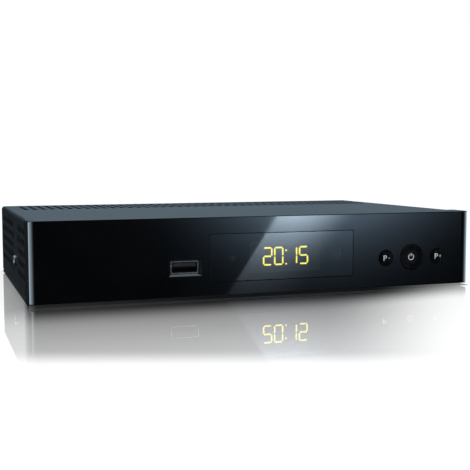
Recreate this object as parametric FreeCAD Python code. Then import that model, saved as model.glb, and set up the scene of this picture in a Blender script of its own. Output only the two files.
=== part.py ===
import FreeCAD, Part
import math
import os

from FreeCAD import Vector

os.makedirs("parts", exist_ok=True)

# Satellite TV receiver, in millimetres.
# +X is to the right seen from the front, +Y goes to the rear, +Z is up.
# The origin is on the table, in the middle of the receiver's footprint.

# ---------------------------------------------------------------- case
case_width = 221.4
case_depth = 143.0          # front face to the outside of the rear wall
case_height = 37.0          # bottom edge of the front panel to its top
foot_lift = 1.2             # front panel's bottom edge above the table
foot_diameter = 14.0
foot_inset_x = 16.0         # foot centre from the case's side
foot_inset_front = 28.0     # foot centre from the front face
foot_inset_rear = 16.0      # foot centre from the rear wall
foot_dish_diameter = 8.0    # shallow hollow under each foot
foot_dish_depth = 0.6
foot_edge = 0.6             # rounded lower rim
foot_stem_diameter = 4.0    # stem that is pressed through the tray
foot_stem_head = 5.4        # button that keeps the stem in its hole
foot_stem_head_height = 0.9
foot_stem_tip = 3.2         # narrow end of that button

sheet = 0.8                 # steel sheet of tray and cover
tray_rise = 0.6             # tray's underside above the panel's bottom edge
cover_inset = 0.3           # cover's faces inside the front panel's
cover_bend = 1.8            # outer radius of the cover's bends
sheet_gap = 0.15            # between cover and tray
seam = 0.3                  # between front panel and cover
tray_bend = 1.0             # outer radius of the tray's lower bends
cover_lip_height = 7.0      # cover's folded lip on the rear wall
cover_lip_inset = 4.0       # lip's ends inside the cover's sides
cover_rear_edge = 0.6       # radius of the cover's rear edge
tray_lead = 1.2             # tray's folded front edge behind the panel's rim
tray_edge_height = 6.0      # tray's four folded edges, above its underside

# ---------------------------------------------------------------- vents
vent_width = 2.6            # side vents, along the depth
vent_height = 3.6
vent_column_pitch = 4.2
vent_row_pitch = 5.3
side_vent_first = 19.0      # first column from the front face
side_vent_rear = 6.0        # last column from the rear wall
side_vent_low = 9.4         # lowest row above the panel's bottom edge
side_vent_top = 4.4         # highest row below the panel's top, at least
screw_pillar = 18.0         # plain stretch of side round its screw
vent_margin = 2.0           # plain sheet between a vent and the card slot
top_slot_width = 2.4
top_slot_length = 11.0
top_slot_pitch = 4.8
top_slot_row_gap = 2.6
top_slot_rows = 3
top_slot_rear = 7.0         # rear row's end from the rear wall
top_slot_inset = 8.0        # slot field's ends inside the cover's sides
floor_slot_count = 14
floor_slot_length = 24.0
floor_slot_width = 2.4
floor_slot_pitch = 5.2
floor_slot_y = 62.0         # middle of the floor slots, from the front face

# ---------------------------------------------------------------- screws
screw_diameter = 3.0
screw_hole_gap = 0.2        # round a screw where it only passes
screw_seat_gap = 0.05       # round a screw where it holds
screw_head_diameter = 5.6
screw_head_height = 1.3
cover_screw_length = 4.5
screw_head_round = 0.45     # rounding of a head, as a share of its height
screw_recess_depth = 0.5    # recess, as a share of the head's height
screw_recess_width = 0.14   # and as shares of its diameter
screw_recess_reach = 0.3
rear_screw_inset = 28.0     # outer rear screws from the case's sides
side_screw_left_y = 61.0    # from the front face
side_screw_right_y = 92.0
side_screw_height = 13.4    # above the panel's bottom edge
side_ear_half = 7.0         # half length of the tray's ear at the screw
side_ear_margin = 4.5       # ear above the screw

# ---------------------------------------------------------------- front panel
panel_wall = 2.2
panel_rim = 1.8             # thickness of the rim round the panel
panel_depth = 14.0          # rim, from the front face to the seam
panel_corner = 2.4          # radius of the upright corners
panel_edge = 0.5            # radius of the top and bottom edges
panel_tongue = 3.0          # tongue that slips under the cover
panel_tongue_wall = 1.0
hook_width = 8.0
hook_thickness = 1.4
hook_barb = 0.9
hook_barb_length = 1.4
hook_play = 0.25
hook_root = 2.5             # hook's foot along the panel's rim
hook_inset = 22.0           # outer hooks from the panel's ends
hook_rise = 2.6             # hook's underside above the tray's underside
tongue_root = 3.0           # tongue's hold under the rim

# ---------------------------------------------------------------- window
window_reach = 28.4         # window's left end, left of the receiver's middle
window_width = 73.8
window_low = 6.3            # above the panel's bottom edge
window_height = 22.8
window_corner = 0.6
window_thickness = 1.2
window_line = 0.2           # fine gap round the window
window_bevel = 0.15
display_view_width = 36.0   # opening behind the window
display_view_height = 15.0
display_offset = 1.5        # display's middle, right of the window's middle
display_height = 17.55      # above the panel's bottom edge
receiver_inset = 9.1        # infrared receiver, from the window's right end
receiver_view_diameter = 6.0
lamp_inset = 11.7           # standby lamp, from the window's left end
lamp_view_diameter = 3.2

# ---------------------------------------------------------------- buttons
button_height = 14.5        # button centres above the panel's bottom edge
power_inset = 32.9          # from the panel's right end
power_diameter = 12.4
power_proud = 0.3
power_dish = 0.9            # depth of the hollow in its face
power_floor_diameter = 7.2  # flat floor of that hollow
power_rim = 0.45            # flat rim round it
button_skin = 1.4           # thickness of a button's face
button_shell = 1.2          # thickness of a button's side
button_round = 0.25         # rounded edge of the power button
hole_bevel = 0.25           # bevel of the button holes
side_button_pitch = 14.5
side_button_diameter = 7.4
side_button_proud = 0.7
side_button_crown = 0.6     # rise of the rounded face
button_gap = 0.2            # round a button in its hole
button_flange = 1.0         # collar behind the panel's wall
button_flange_lap = 1.0
button_rest_gap = 0.05      # collar to wall, and stem to switch
button_stem_diameter = 3.4
button_travel = 0.4
switch_side = 6.0
switch_body_height = 3.4
plunger_diameter = 3.2
plunger_reach = 1.0         # plunger in front of its switch
plunger_depth = 1.6         # plunger inside its switch
plunger_gap = 0.1
switch_well_spare = 0.3     # well behind the pressed plunger

# ---------------------------------------------------------------- boards
board = 1.6
front_board_setback = 9.5   # front of the front board from the front face
front_board_lead = 1.7      # board's left end inside the window's left end
front_board_inset = 8.0     # board's right end from the panel's right end
front_board_low = 5.0       # above the panel's bottom edge
front_board_top = 4.0       # below the panel's top
front_boss_diameter = 5.4
front_boss_bore = 2.2
front_boss_inset = 6.0      # outer bosses from the board's ends
front_boss_margin = 3.0     # upper bosses below the board's top
front_boss_rise = 3.5       # lower boss above the board's bottom
front_boss_to_button = 11.0 # middle bosses left of the left small button
screw_end_play = 0.5        # bore deeper than its screw
board_screw_diameter = 2.2
board_screw_head = 4.2
board_screw_head_height = 1.4
board_screw_bite = 5.0      # screw past the board's far face
main_board_margin = 3.2     # board's sides inside the tray's sides
main_board_front = 20.0     # from the front face
main_board_rear = 1.0       # inside the rear wall
main_board_corner = 1.5
snug = 0.05                 # round pieces that are seated in a hole
standoff_diameter = 6.0
standoff_rivet = 4.2        # its foot through the tray's floor
standoff_bore = 6.0
standoffs_left = ((18.0, 44.0), (54.0, 104.0))  # from the case's left side and front face
standoff_middle = (6.0, 100.0)                  # from the middle and the front face
standoff_right = (26.0, 90.0)                   # from the case's right side and front face
standoff_to_reader = (9.0, 34.0)                # from the card reader and the front face

# ---------------------------------------------------------------- usb socket
usb_to_window = 11.5        # socket's middle, left of the window's left end
usb_height = 13.9           # above the panel's bottom edge
usb_shell_width = 13.1
usb_shell_height = 5.7
usb_shell_length = 14.0
usb_shell_wall = 0.3
usb_shell_bend = 0.6        # outer radius of the shell's bends
usb_setback = 1.9           # shell's rim behind the front face
usb_mouth_width = 15.7      # opening at the face
usb_mouth_height = 8.0
usb_mouth_chamfer = 0.9
usb_tongue_thickness = 1.84
usb_tongue_width = 11.2
usb_tongue_drop = 0.45      # tongue below the shell's upper wall
usb_tongue_setback = 0.6
usb_contact_count = 4
usb_contact_width = 1.0
usb_contact_height = 0.12
usb_contact_pitch = 2.4
usb_contact_length = 6.0
usb_contact_setback = 1.2   # contacts behind the tongue's tip
usb_back = 3.0              # solid rear of the insulator
usb_board_margin = 2.2      # board beside the socket
usb_board_setback = 4.0     # board's tongue behind the front face

# ---------------------------------------------------------------- rear sockets
cutout_gap = 0.25           # round each socket in the rear wall
rear_socket_reach = 1.0     # most socket faces stand out of the wall
lnb_inset = 16.0            # aerial input from the case's left side
lnb_pitch = 20.0            # aerial output from the input
lnb_height = 7.6            # barrel's axis above the main board
barrel_radius = 4.76        # outside of the 3/8 in thread
barrel_root_radius = 4.5    # through the rear wall and the nut
barrel_flange_radius = 6.3
barrel_bore = 2.6
barrel_reach = 10.5         # past the rear wall
barrel_hole_depth = 7.0
barrel_pin_hole = 0.6
barrel_pin_depth = 3.0
nut_width = 12.7            # across flats
nut_thickness = 2.0
nut_crown = 0.5             # rounding of the nut's corners
washer_diameter = 14.0
washer_thickness = 0.5
tuner_width = 40.0
tuner_length = 42.0
tuner_height = 14.0
tuner_wall = 0.5
tuner_lid_lap = 2.4         # lid's skirt
tuner_lid_gap = 0.1
tuner_setback = 0.5         # can behind the rear wall's inside
ethernet_width = 16.0
ethernet_height = 13.4
ethernet_length = 16.0
ethernet_wall = 0.4
ethernet_mouth_width = 11.9
ethernet_mouth_height = 7.0
ethernet_mouth_rise = 3.6   # mouth's lower edge above the board
ethernet_mouth_depth = 12.0
ethernet_key_width = 6.2    # latch key under the mouth
ethernet_key_height = 1.7
ethernet_contacts = 8
ethernet_contact_pitch = 1.02
ethernet_contact_width = 0.45
ethernet_contact_height = 0.4
ethernet_contact_length = 8.0
hdmi_width = 15.0
hdmi_height = 5.6
hdmi_length = 11.5
hdmi_wall = 0.35
hdmi_rise = 0.4             # shell's underside above the board
hdmi_shoulder = 2.3         # slanted lower corners
hdmi_tongue_width = 11.4
hdmi_tongue_height = 1.2
hdmi_back = 3.0
hdmi_foot = 2.0
hdmi_tongue_setback = 0.7
scart_width = 47.4
scart_height = 15.6
scart_length = 19.0
scart_shell_wall = 0.6
scart_groove = 2.1          # gap that takes the plug's shroud
scart_groove_depth = 10.0
scart_corner = 4.2          # slanted lower corner
scart_rise = 0.2
scart_slot_width = 1.6
scart_slot_height = 3.2
scart_slot_pitch = 3.8
scart_slot_count = 10
scart_slot_depth = 8.0
scart_row_offset = 2.5
scart_foot = 2.5
scart_island_setback = 0.4
scart_blade = 0.4           # contact blades: thickness, height and length
scart_blade_height = 2.4
scart_blade_length = 6.0
spdif_body = 10.0
spdif_length = 9.0
spdif_axis = 6.4            # above the main board
spdif_sleeve_radius = 4.1
spdif_sleeve_bore = 3.4
spdif_sleeve_reach = 8.0
spdif_pin_bore = 1.6
spdif_sleeve_round = 0.3
spdif_core_setback = 0.5
spdif_pin_depth = 9.0
dc_body = 9.0
dc_height = 11.0
dc_length = 14.0
dc_axis = 6.5
dc_bore_radius = 2.85
dc_bore_depth = 10.0
dc_pin_radius = 1.0
dc_pin_setback = 0.8
dc_pin_round = 0.6

# ---------------------------------------------------------------- power rocker
rocker_inset = 16.0         # from the case's right side
rocker_z = 20.0             # pivot above the panel's bottom edge
rocker_width = 7.8
rocker_radius = 6.2
rocker_valley = 2.0         # middle of its face outside the pivot
rocker_tilt = 11.0          # degrees each way
rocker_play = 0.3
rocker_sink = 3.0           # drum below the pivot
rocker_pivot_depth = 1.0    # pivot inside the rear wall's outer face
rocker_axle_radius = 1.2
rocker_axle_gap = 0.05
rocker_axle_length = 0.8
switch_wall = 1.1
switch_bezel_lap = 1.4
switch_bezel = 1.2
switch_bezel_round = 0.5
switch_case_depth = 14.0    # inside the rear wall's outer face
terminal_width = 4.0
terminal_thickness = 0.8
terminal_reach = 5.0
terminal_offset = 3.0
wire_radius = 0.9
wire_bend = 3.0
wire_run = 3.0              # straight part behind the terminal
header_width = 8.0
header_depth = 5.6
header_height = 5.0

# ---------------------------------------------------------------- card reader
reader_y = 50.0             # middle of the reader from the front face
card_width = 54.0
card_slot_gap = 1.0         # slot longer than the card, each end
card_play = 0.3
card_slot_height = 2.2
card_rise = 3.0             # slot's middle above the main board
reader_side = 2.0           # frame beside the card's way
reader_length = 46.0
reader_roof = 1.2
reader_inset = 1.0          # frame's mouth inside the tray's side
reader_window = 24.0        # opening in the reader's roof
reader_window_margin = 5.0
card_pad_rows = 2
card_pads_per_row = 4
card_pad_pitch_x = 7.6
card_pad_pitch_y = 2.54
card_pad_size = 1.4
card_pad_height = 0.3
card_pad_x = 19.0           # contacts from the frame's inner end

# ---------------------------------------------------------------- main board parts
processor_x = -14.0         # from the middle
processor_y = 72.0          # from the front face
processor_side = 27.0
processor_height = 2.2
heatsink_side = 36.0
heatsink_base = 2.4
heatsink_height = 12.0
heatsink_fins = 9
heatsink_fin = 1.2
pad_thickness = 0.6
memory_x = (-52.0, -36.0)
memory_y = 72.0
memory_size = (11.0, 13.0, 1.2)
flash_place = (18.0, 58.0)
flash_size = (12.0, 18.0, 1.2)
can_places = ((54.0, 104.0), (42.0, 104.0), (30.0, 104.0), (76.0, 100.0))  # from right side and front
can_radius = 4.0
can_height = 11.5
coil_places = ((66.0, 86.0), (16.0, 94.0))
coil_side = 9.0
coil_height = 5.0
can_round = 0.5
ribbon_to_reader = 15.0     # middle of the ribbon, left of the card reader
ribbon_width = 15.0
ribbon_thickness = 0.3
ribbon_bend = 2.2
ribbon_socket_width = 18.0
ribbon_socket_depth = 3.0
ribbon_socket_height = 5.0
ribbon_drop = 13.0          # front board's socket below the panel's top
ribbon_main_y = 24.0        # main board's socket from the front face

# ---------------------------------------------------------------- display
digit_block_width = 30.0
digit_block_height = 14.0
digit_block_gap = 0.3       # block to window's rear
digit_height = 8.95
digit_width = 5.0
digit_stroke = 0.9
digit_thickness = 0.15
digit_pitch = 5.65
digit_colon_gap = 1.5       # extra pitch between hours and minutes
digit_mitre = 0.12          # gap between strokes
colon_half = 3.2            # each dot from the colon's middle
colon_drop = 0.65           # colon's middle below the figures' middle
colon_offset = 0.2          # colon right of the display's middle
clock_reading = "2015"      # hours and minutes
receiver_side = 6.6
receiver_depth = 5.0        # infrared receiver in front of its board
receiver_lens_radius = 2.6
lamp_radius = 1.5
lamp_flange = 0.3
lamp_flange_height = 1.0
lamp_spacer_rim = 0.5       # spacer wider than the lamp, all round
lamp_spacer_length = 3.5

# ---------------------------------------------------------------- derived places
tiny = 0.001                # tolerance when edges are picked by their place
past = 1.0                  # how far a cutter runs past what it cuts
lap = 0.5                   # how far a joined piece runs into what carries it
half_width = case_width / 2
board_screw_radius = screw_diameter / 2
most_proud = max(power_proud, side_button_proud)
front = -(case_depth + barrel_reach - most_proud) / 2
rear = front + case_depth
panel_low = foot_lift
panel_top = foot_lift + case_height
cover_top = panel_top - cover_inset
cover_half = half_width - cover_inset
cover_front = front + panel_depth + seam
tray_low = panel_low + tray_rise
tray_floor = tray_low + sheet
tray_half = cover_half - sheet - sheet_gap
tray_front = front + panel_depth + tray_lead
rear_inside = rear - sheet
usb_z = panel_low + usb_height
main_top = usb_z - usb_shell_height / 2
main_low = main_top - board
front_board_y = front + front_board_setback
button_z = panel_low + button_height
power_x = half_width - power_inset
side_button_x = (power_x - side_button_pitch, power_x + side_button_pitch)
display_z = panel_low + display_height
window_x0 = -window_reach
usb_x = window_x0 - usb_to_window
display_x = window_x0 + window_width / 2 + display_offset
receiver_x = window_x0 + window_width - receiver_inset
lamp_x = window_x0 + lamp_inset
window_z0 = panel_low + window_low
side_screw_z = panel_low + side_screw_height
card_slot_z = main_top + card_rise
rocker_pivot_y = rear - rocker_pivot_depth
rocker_pivot_z = panel_low + rocker_z
rocker_x = half_width - rocker_inset
switch_half_x = rocker_width / 2 + rocker_play + switch_wall
switch_half_z = rocker_radius + rocker_play + switch_wall
reader_x1 = tray_half - sheet - reader_inset
reader_x0 = reader_x1 - reader_length
ribbon_x = reader_x0 - ribbon_to_reader
lnb_in_x = lnb_inset - half_width
lnb_out_x = lnb_in_x + lnb_pitch
tuner_x = (lnb_in_x + lnb_out_x) / 2

# The sockets between the tuner and the power switch lie with equal gaps.
row_widths = (ethernet_width, hdmi_width, scart_width, spdif_body, dc_body)
row_start = tuner_x + tuner_width / 2 + tuner_lid_gap + tuner_wall
row_end = rocker_x - switch_half_x - switch_bezel_lap
row_gap = (row_end - row_start - sum(row_widths)) / (len(row_widths) + 1)
row_middles = [
    row_start + sum(row_widths[:i]) + (i + 1) * row_gap + width / 2 for i, width in enumerate(row_widths)
]
ethernet_x, hdmi_x, scart_x, spdif_x, dc_x = row_middles

# All standoffs and bosses as places from the receiver's middle and its front face or bottom edge.
standoff_places = (
    (standoffs_left[0][0] - half_width, standoffs_left[0][1]),
    (standoffs_left[1][0] - half_width, standoffs_left[1][1]),
    standoff_middle,
    (half_width - standoff_right[0], standoff_right[1]),
    (reader_x0 - standoff_to_reader[0], standoff_to_reader[1]),
)
board_x0 = window_x0 + front_board_lead
board_x1 = half_width - front_board_inset
board_z0 = panel_low + front_board_low
board_z1 = panel_top - front_board_top
boss_middle = side_button_x[0] - front_boss_to_button
front_boss_places = (
    (board_x0 + front_boss_inset, board_z1 - front_boss_margin),
    (boss_middle, board_z1 - front_boss_margin),
    (board_x1 - front_boss_inset, board_z1 - front_boss_margin),
    (boss_middle, board_z0 + front_boss_rise),
)
hook_places = (hook_inset - half_width, 0, half_width - hook_inset)
X = Vector(1, 0, 0)
Y = Vector(0, 1, 0)
Z = Vector(0, 0, 1)


# ---------------------------------------------------------------- helpers
def block(x0, x1, y0, y1, z0, z1):
    """Box between two corners."""
    return Part.makeBox(x1 - x0, y1 - y0, z1 - z0, Vector(x0, y0, z0))


def centred(x, y, size_x, size_y, z0, z1):
    """Box centred on x and y."""
    return block(x - size_x / 2, x + size_x / 2, y - size_y / 2, y + size_y / 2, z0, z1)


def facing(x, z, width, height, y0, y1):
    """Box centred on x and z."""
    return block(x - width / 2, x + width / 2, y0, y1, z - height / 2, z + height / 2)


def rod(radius, start, along, length):
    """Cylinder from a point along a direction."""
    return Part.makeCylinder(radius, length, start, along)


def outline(points):
    """Closed wire through corner points."""
    return Part.makePolygon(list(points) + [points[0]])


def prism(points, along):
    """Straight prism on a flat outline."""
    return Part.Face(outline(points)).extrude(along)


def obround(centre, along, across, length, width):
    """Closed wire of a slot with round ends."""
    half = (length - width) / 2
    radius = width / 2
    a = centre + along * half + across * radius
    b = centre - along * half + across * radius
    c = centre - along * half - across * radius
    d = centre + along * half - across * radius
    left = centre - along * (half + radius)
    right = centre + along * (half + radius)
    edges = [
        Part.LineSegment(a, b).toShape(),
        Part.Arc(b, left, c).toShape(),
        Part.LineSegment(c, d).toShape(),
        Part.Arc(d, right, a).toShape(),
    ]
    return Part.Wire(edges)


def rounded(centre, along, across, length, width, radius):
    """Closed wire of a rectangle with round corners."""
    u = length / 2
    v = width / 2
    k = radius * (1 - math.sqrt(0.5))
    edges = []
    corners = ((1, 1), (-1, 1), (-1, -1), (1, -1))
    arcs = []
    for sx, sy in corners:
        start = centre + along * (sx * u) + across * (sy * (v - radius))
        middle = centre + along * (sx * (u - k)) + across * (sy * (v - k))
        end = centre + along * (sx * (u - radius)) + across * (sy * v)
        arcs.append((start, middle, end) if sx * sy > 0 else (end, middle, start))
    for here, after in zip(arcs, arcs[1:] + arcs[:1]):
        edges.append(Part.Arc(*here).toShape())
        edges.append(Part.LineSegment(here[2], after[0]).toShape())
    return Part.Wire(edges)


def union(shapes):
    """One solid from touching or overlapping solids."""
    return shapes[0].fuse(list(shapes[1:])).removeSplitter()


def group(shapes):
    """Several separate solids in one node."""
    return Part.makeCompound(list(shapes))


def turned(shape, centre, axis, angle):
    """Copy of a shape turned about an axis."""
    copy = shape.copy()
    copy.rotate(centre, axis, angle)
    return copy


def screw(seat, along, length, diameter, head_diameter, head_height):
    """Pan-head screw: its head's underside is on the seat and its shank goes along."""
    shank = rod(diameter / 2, seat, along, length)
    head = rod(head_diameter / 2, seat - along * head_height, along, head_height)
    rim = [e for e in head.Edges if abs((e.CenterOfMass - seat).dot(along) + head_height) < 1e-6]
    head = head.makeFillet(head_height * screw_head_round, rim)
    recess_depth = head_height * screw_recess_depth
    recess_width = head_diameter * screw_recess_width
    recess_reach = head_diameter * screw_recess_reach
    start = seat - along * head_height
    side = along.cross(Z) if abs(along.dot(Z)) < 0.5 else X
    other = along.cross(side)
    for a, b in ((side, other), (other, side)):
        corners = [
            start + a * (i * recess_reach) + b * (j * recess_width / 2)
            for i, j in ((-1, -1), (1, -1), (1, 1), (-1, 1))
        ]
        head = head.cut(prism(corners, along * recess_depth))
    return union([shank, head])


def edges_at(shape, test):
    """Edges whose bounding box passes a test."""
    return [e for e in shape.Edges if test(e.BoundBox)]


def cut_corner_points(x, y, z_low, width, height, left, right, margin):
    """Outline of a socket with slanted lower corners, drawn in by a margin."""
    shrink = margin * (2 - math.sqrt(2))
    x0 = x - width / 2 + margin
    x1 = x + width / 2 - margin
    z0 = z_low + margin
    z1 = z_low + height - margin
    points = [Vector(x0, y, z1), Vector(x1, y, z1)]
    if right > shrink:
        points += [Vector(x1, y, z0 + right - shrink), Vector(x1 - right + shrink, y, z0)]
    else:
        points += [Vector(x1, y, z0)]
    if left > shrink:
        points += [Vector(x0 + left - shrink, y, z0), Vector(x0, y, z0 + left - shrink)]
    else:
        points += [Vector(x0, y, z0)]
    return points


def along_edges(shape, length):
    """Edges that run along Y for at least a length."""
    return edges_at(shape, lambda b: b.YLength > length - tiny)


# ---------------------------------------------------------------- steel case
def side_screw_place(side):
    """Seat of a side screw's head, on the cover's side."""
    y = side_screw_left_y if side < 0 else side_screw_right_y
    return Vector(side * cover_half, front + y, side_screw_z)


def rear_screw_places():
    """Seats of the rear screws' heads, on the cover's rear lip."""
    reach = half_width - rear_screw_inset
    y = rear + sheet_gap + sheet
    z = cover_top - cover_lip_height / 2
    return [Vector(x, y, z) for x in (-reach, 0, reach)]


def foot_places():
    """Centres of the four feet."""
    x = half_width - foot_inset_x
    return [(sx, y) for y in (front + foot_inset_front, rear - foot_inset_rear) for sx in (-x, x)]


def rear_cutouts():
    """Cutters for the sockets in the rear panel."""
    start = rear - 2 * sheet
    deep = 3 * sheet
    wide = 2 * cutout_gap
    cuts = []
    for x in (lnb_in_x, lnb_out_x):
        hole = barrel_root_radius + cutout_gap
        cuts.append(rod(hole, Vector(x, start, main_top + lnb_height), Y, deep))
    hole = spdif_sleeve_radius + cutout_gap
    cuts.append(rod(hole, Vector(spdif_x, start, main_top + spdif_axis), Y, deep))
    for x, width, height in ((ethernet_x, ethernet_width, ethernet_height), (dc_x, dc_body, dc_height)):
        cuts.append(facing(x, main_top + height / 2, width + wide, height + wide, start, start + deep))
    cuts.append(prism(hdmi_points(start, -cutout_gap), Y * deep))
    cuts.append(prism(scart_points(start, -cutout_gap), Y * deep))
    width = 2 * switch_half_x + wide
    height = 2 * switch_half_z + wide
    cuts.append(facing(rocker_x, rocker_pivot_z, width, height, start, start + deep))
    return cuts


def base_tray():
    """Folded steel tray: floor, four low edges and two ears for the side screws."""
    edge_top = tray_low + tray_edge_height
    outer = block(-tray_half, tray_half, tray_front, rear_inside, tray_low, edge_top)
    outer = outer.makeFillet(tray_bend, edges_at(outer, lambda b: b.ZMax < tray_low + tiny))
    inside = tray_half - sheet
    hollow = block(-inside, inside, tray_front + sheet, rear_inside - sheet, tray_floor, edge_top + past)
    tray = outer.cut(hollow)
    ears = []
    for side in (-1, 1):
        place = side_screw_place(side)
        x0, x1 = sorted((side * tray_half, side * inside))
        top = side_screw_z + side_ear_margin
        ears.append(block(x0, x1, place.y - side_ear_half, place.y + side_ear_half, edge_top, top))
    tray = union([tray] + ears)
    cuts = []
    hold = screw_diameter / 2 + screw_seat_gap
    for side in (-1, 1):
        cuts.append(rod(hold, side_screw_place(side), X * -side, cover_screw_length))
    under = tray_low - past
    through = sheet + 2 * past
    for x, y in foot_places():
        cuts.append(rod(foot_stem_diameter / 2 + snug, Vector(x, y, under), Z, through))
    for x, y in standoff_places:
        cuts.append(rod(standoff_rivet / 2 + snug, Vector(x, front + y, under), Z, through))
    for i in range(floor_slot_count):
        x = (i - (floor_slot_count - 1) / 2) * floor_slot_pitch
        centre = Vector(x, front + floor_slot_y, under)
        wire = obround(centre, Y, X, floor_slot_length, floor_slot_width)
        cuts.append(Part.Face(wire).extrude(Z * through))
    hole_width = hook_width + 2 * hook_play
    hole_height = hook_thickness + 2 * hook_play
    z = tray_low + hook_rise + hook_thickness / 2
    for x in hook_places:
        cuts.append(facing(x, z, hole_width, hole_height, tray_front - past, tray_front + sheet + past))
    return tray.cut(cuts)


def rear_panel():
    """Steel sheet that closes the rear and carries the sockets."""
    wall_top = cover_top - sheet - sheet_gap
    panel = block(-tray_half, tray_half, rear_inside, rear, tray_low, wall_top)
    upper = edges_at(panel, lambda b: b.ZMin > wall_top - tiny and b.XLength < tiny)
    panel = panel.makeFillet(cover_bend - sheet - sheet_gap, upper)
    cuts = rear_cutouts()
    hold = screw_diameter / 2 + screw_seat_gap
    for place in rear_screw_places():
        cuts.append(rod(hold, place, Y * -1, cover_screw_length))
    return panel.cut(cuts)


def side_vents(side):
    """Cutters for the rows of vents in one side of the cover."""
    screw_y = side_screw_left_y if side < 0 else side_screw_right_y
    slot_half_y = card_width / 2 + card_slot_gap + vent_margin + vent_width / 2
    slot_half_z = card_slot_height / 2 + vent_margin + vent_height / 2
    start = side * (cover_half + past)
    deep = past + 2 * sheet
    last = case_depth - side_vent_rear
    cuts = []
    rows = int((case_height - side_vent_top - side_vent_low) / vent_row_pitch) + 1
    for row in range(rows):
        z = panel_low + side_vent_low + row * vent_row_pitch
        y = side_vent_first + (row % 2) * vent_column_pitch / 2
        while y <= last:
            on_pillar = abs(y - screw_y) < screw_pillar / 2 + vent_width / 2
            near_slot = abs(y - reader_y) < slot_half_y and abs(z - card_slot_z) < slot_half_z
            if not on_pillar and not (side > 0 and near_slot):
                wire = obround(Vector(start, front + y, z), Z, Y, vent_height, vent_width)
                cuts.append(Part.Face(wire).extrude(X * (-side * deep)))
            y += vent_column_pitch
    return cuts


def top_slots():
    """Cutters for the rows of slots over the warm rear of the boards."""
    reach = cover_half - top_slot_inset
    count = int(2 * reach / top_slot_pitch) + 1
    cuts = []
    for row in range(top_slot_rows):
        y = rear - top_slot_rear - top_slot_length / 2 - row * (top_slot_length + top_slot_row_gap)
        for i in range(count):
            x = (i - (count - 1) / 2) * top_slot_pitch
            centre = Vector(x, y, cover_top - 2 * sheet)
            wire = obround(centre, Y, X, top_slot_length, top_slot_width)
            cuts.append(Part.Face(wire).extrude(Z * (3 * sheet)))
    return cuts


def lip_reliefs():
    """Cutters that keep the cover's rear lip off the sockets on the rear panel."""
    nut_top = main_top + lnb_height + nut_width / math.sqrt(3)
    bezel_half_x = switch_half_x + switch_bezel_lap
    bezel_top = rocker_pivot_z + switch_half_z + switch_bezel_lap
    stands = (
        (lnb_in_x, washer_diameter, nut_top),
        (lnb_out_x, washer_diameter, nut_top),
        (ethernet_x, ethernet_width, main_top + ethernet_height),
        (hdmi_x, hdmi_width, main_top + hdmi_rise + hdmi_height),
        (scart_x, scart_width, main_top + scart_rise + scart_height),
        (spdif_x, spdif_body, main_top + spdif_axis + spdif_sleeve_radius),
        (dc_x, dc_body, main_top + dc_height),
        (rocker_x, 2 * bezel_half_x, bezel_top),
    )
    end = rear + sheet_gap + sheet + past
    cuts = []
    for x, width, top in stands:
        half = width / 2 + cutout_gap
        cuts.append(block(x - half, x + half, rear, end, tray_low, top + cutout_gap))
    return cuts


def top_cover():
    """Folded steel cover: top, both sides and the rear lip."""
    end = rear + sheet_gap + sheet
    outer = block(-cover_half, cover_half, cover_front, end, tray_low, cover_top)
    upper = edges_at(outer, lambda b: b.ZMin > cover_top - tiny and b.XLength < tiny)
    outer = outer.makeFillet(cover_bend, upper)
    rim = edges_at(outer, lambda b: b.YMin > end - tiny and b.ZMax > tray_low + tiny)
    outer = outer.makeFillet(cover_rear_edge, rim)
    inside = cover_half - sheet
    under = tray_low - past
    hollow = block(-inside, inside, cover_front - past, end - sheet, under, cover_top - sheet)
    upper = edges_at(hollow, lambda b: b.ZMin > cover_top - sheet - tiny and b.XLength < tiny)
    hollow = hollow.makeFillet(cover_bend - sheet, upper)
    lip_low = cover_top - cover_lip_height
    lip_half = cover_half - cover_lip_inset
    lip_start = end - 2 * sheet
    lip_end = end + past
    shoulder = cover_top - cover_bend
    cuts = [hollow]
    cuts.append(block(-inside, inside, lip_start, lip_end, under, lip_low))
    cuts.append(block(-inside, -lip_half, lip_start, lip_end, under, shoulder))
    cuts.append(block(lip_half, inside, lip_start, lip_end, under, shoulder))
    pass_radius = screw_diameter / 2 + screw_hole_gap
    deep = sheet + 2 * past
    for side in (-1, 1):
        cuts.append(rod(pass_radius, side_screw_place(side) + X * (side * past), X * -side, deep))
    for place in rear_screw_places():
        cuts.append(rod(pass_radius, place + Y * past, Y * -1, deep))
    slot_centre = Vector(cover_half + past, front + reader_y, card_slot_z)
    wire = obround(slot_centre, Y, Z, card_width + 2 * card_slot_gap, card_slot_height)
    cuts.append(Part.Face(wire).extrude(X * -deep))
    cuts += lip_reliefs()
    cover = outer.cut(cuts)
    return cover.cut(side_vents(-1) + side_vents(1) + top_slots())


def cover_screws():
    """Screws of the cover: one in each side and three at the rear."""
    sizes = (cover_screw_length, screw_diameter, screw_head_diameter, screw_head_height)
    screws = [screw(side_screw_place(side), X * -side, *sizes) for side in (-1, 1)]
    screws += [screw(place, Y * -1, *sizes) for place in rear_screw_places()]
    return group(screws)


def foot(x, y):
    """Rubber foot with a stem that snaps through the tray's floor."""
    pad = rod(foot_diameter / 2, Vector(x, y, 0), Z, tray_low)
    rim = edges_at(pad, lambda b: b.ZMax < tiny)
    pad = pad.makeFillet(foot_edge, rim)
    hollow = rod(foot_dish_diameter / 2, Vector(x, y, -past), Z, past + foot_dish_depth)
    stem = rod(foot_stem_diameter / 2, Vector(x, y, tray_low - tiny), Z, sheet + tiny)
    top = Vector(x, y, tray_floor)
    head = Part.makeCone(foot_stem_head / 2, foot_stem_tip / 2, foot_stem_head_height, top, Z)
    return union([pad.cut(hollow), stem, head])


# ---------------------------------------------------------------- front panel
def button_places():
    """Middle and radius of each button."""
    small = side_button_diameter / 2
    return [(power_x, power_diameter / 2)] + [(x, small) for x in side_button_x]


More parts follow.
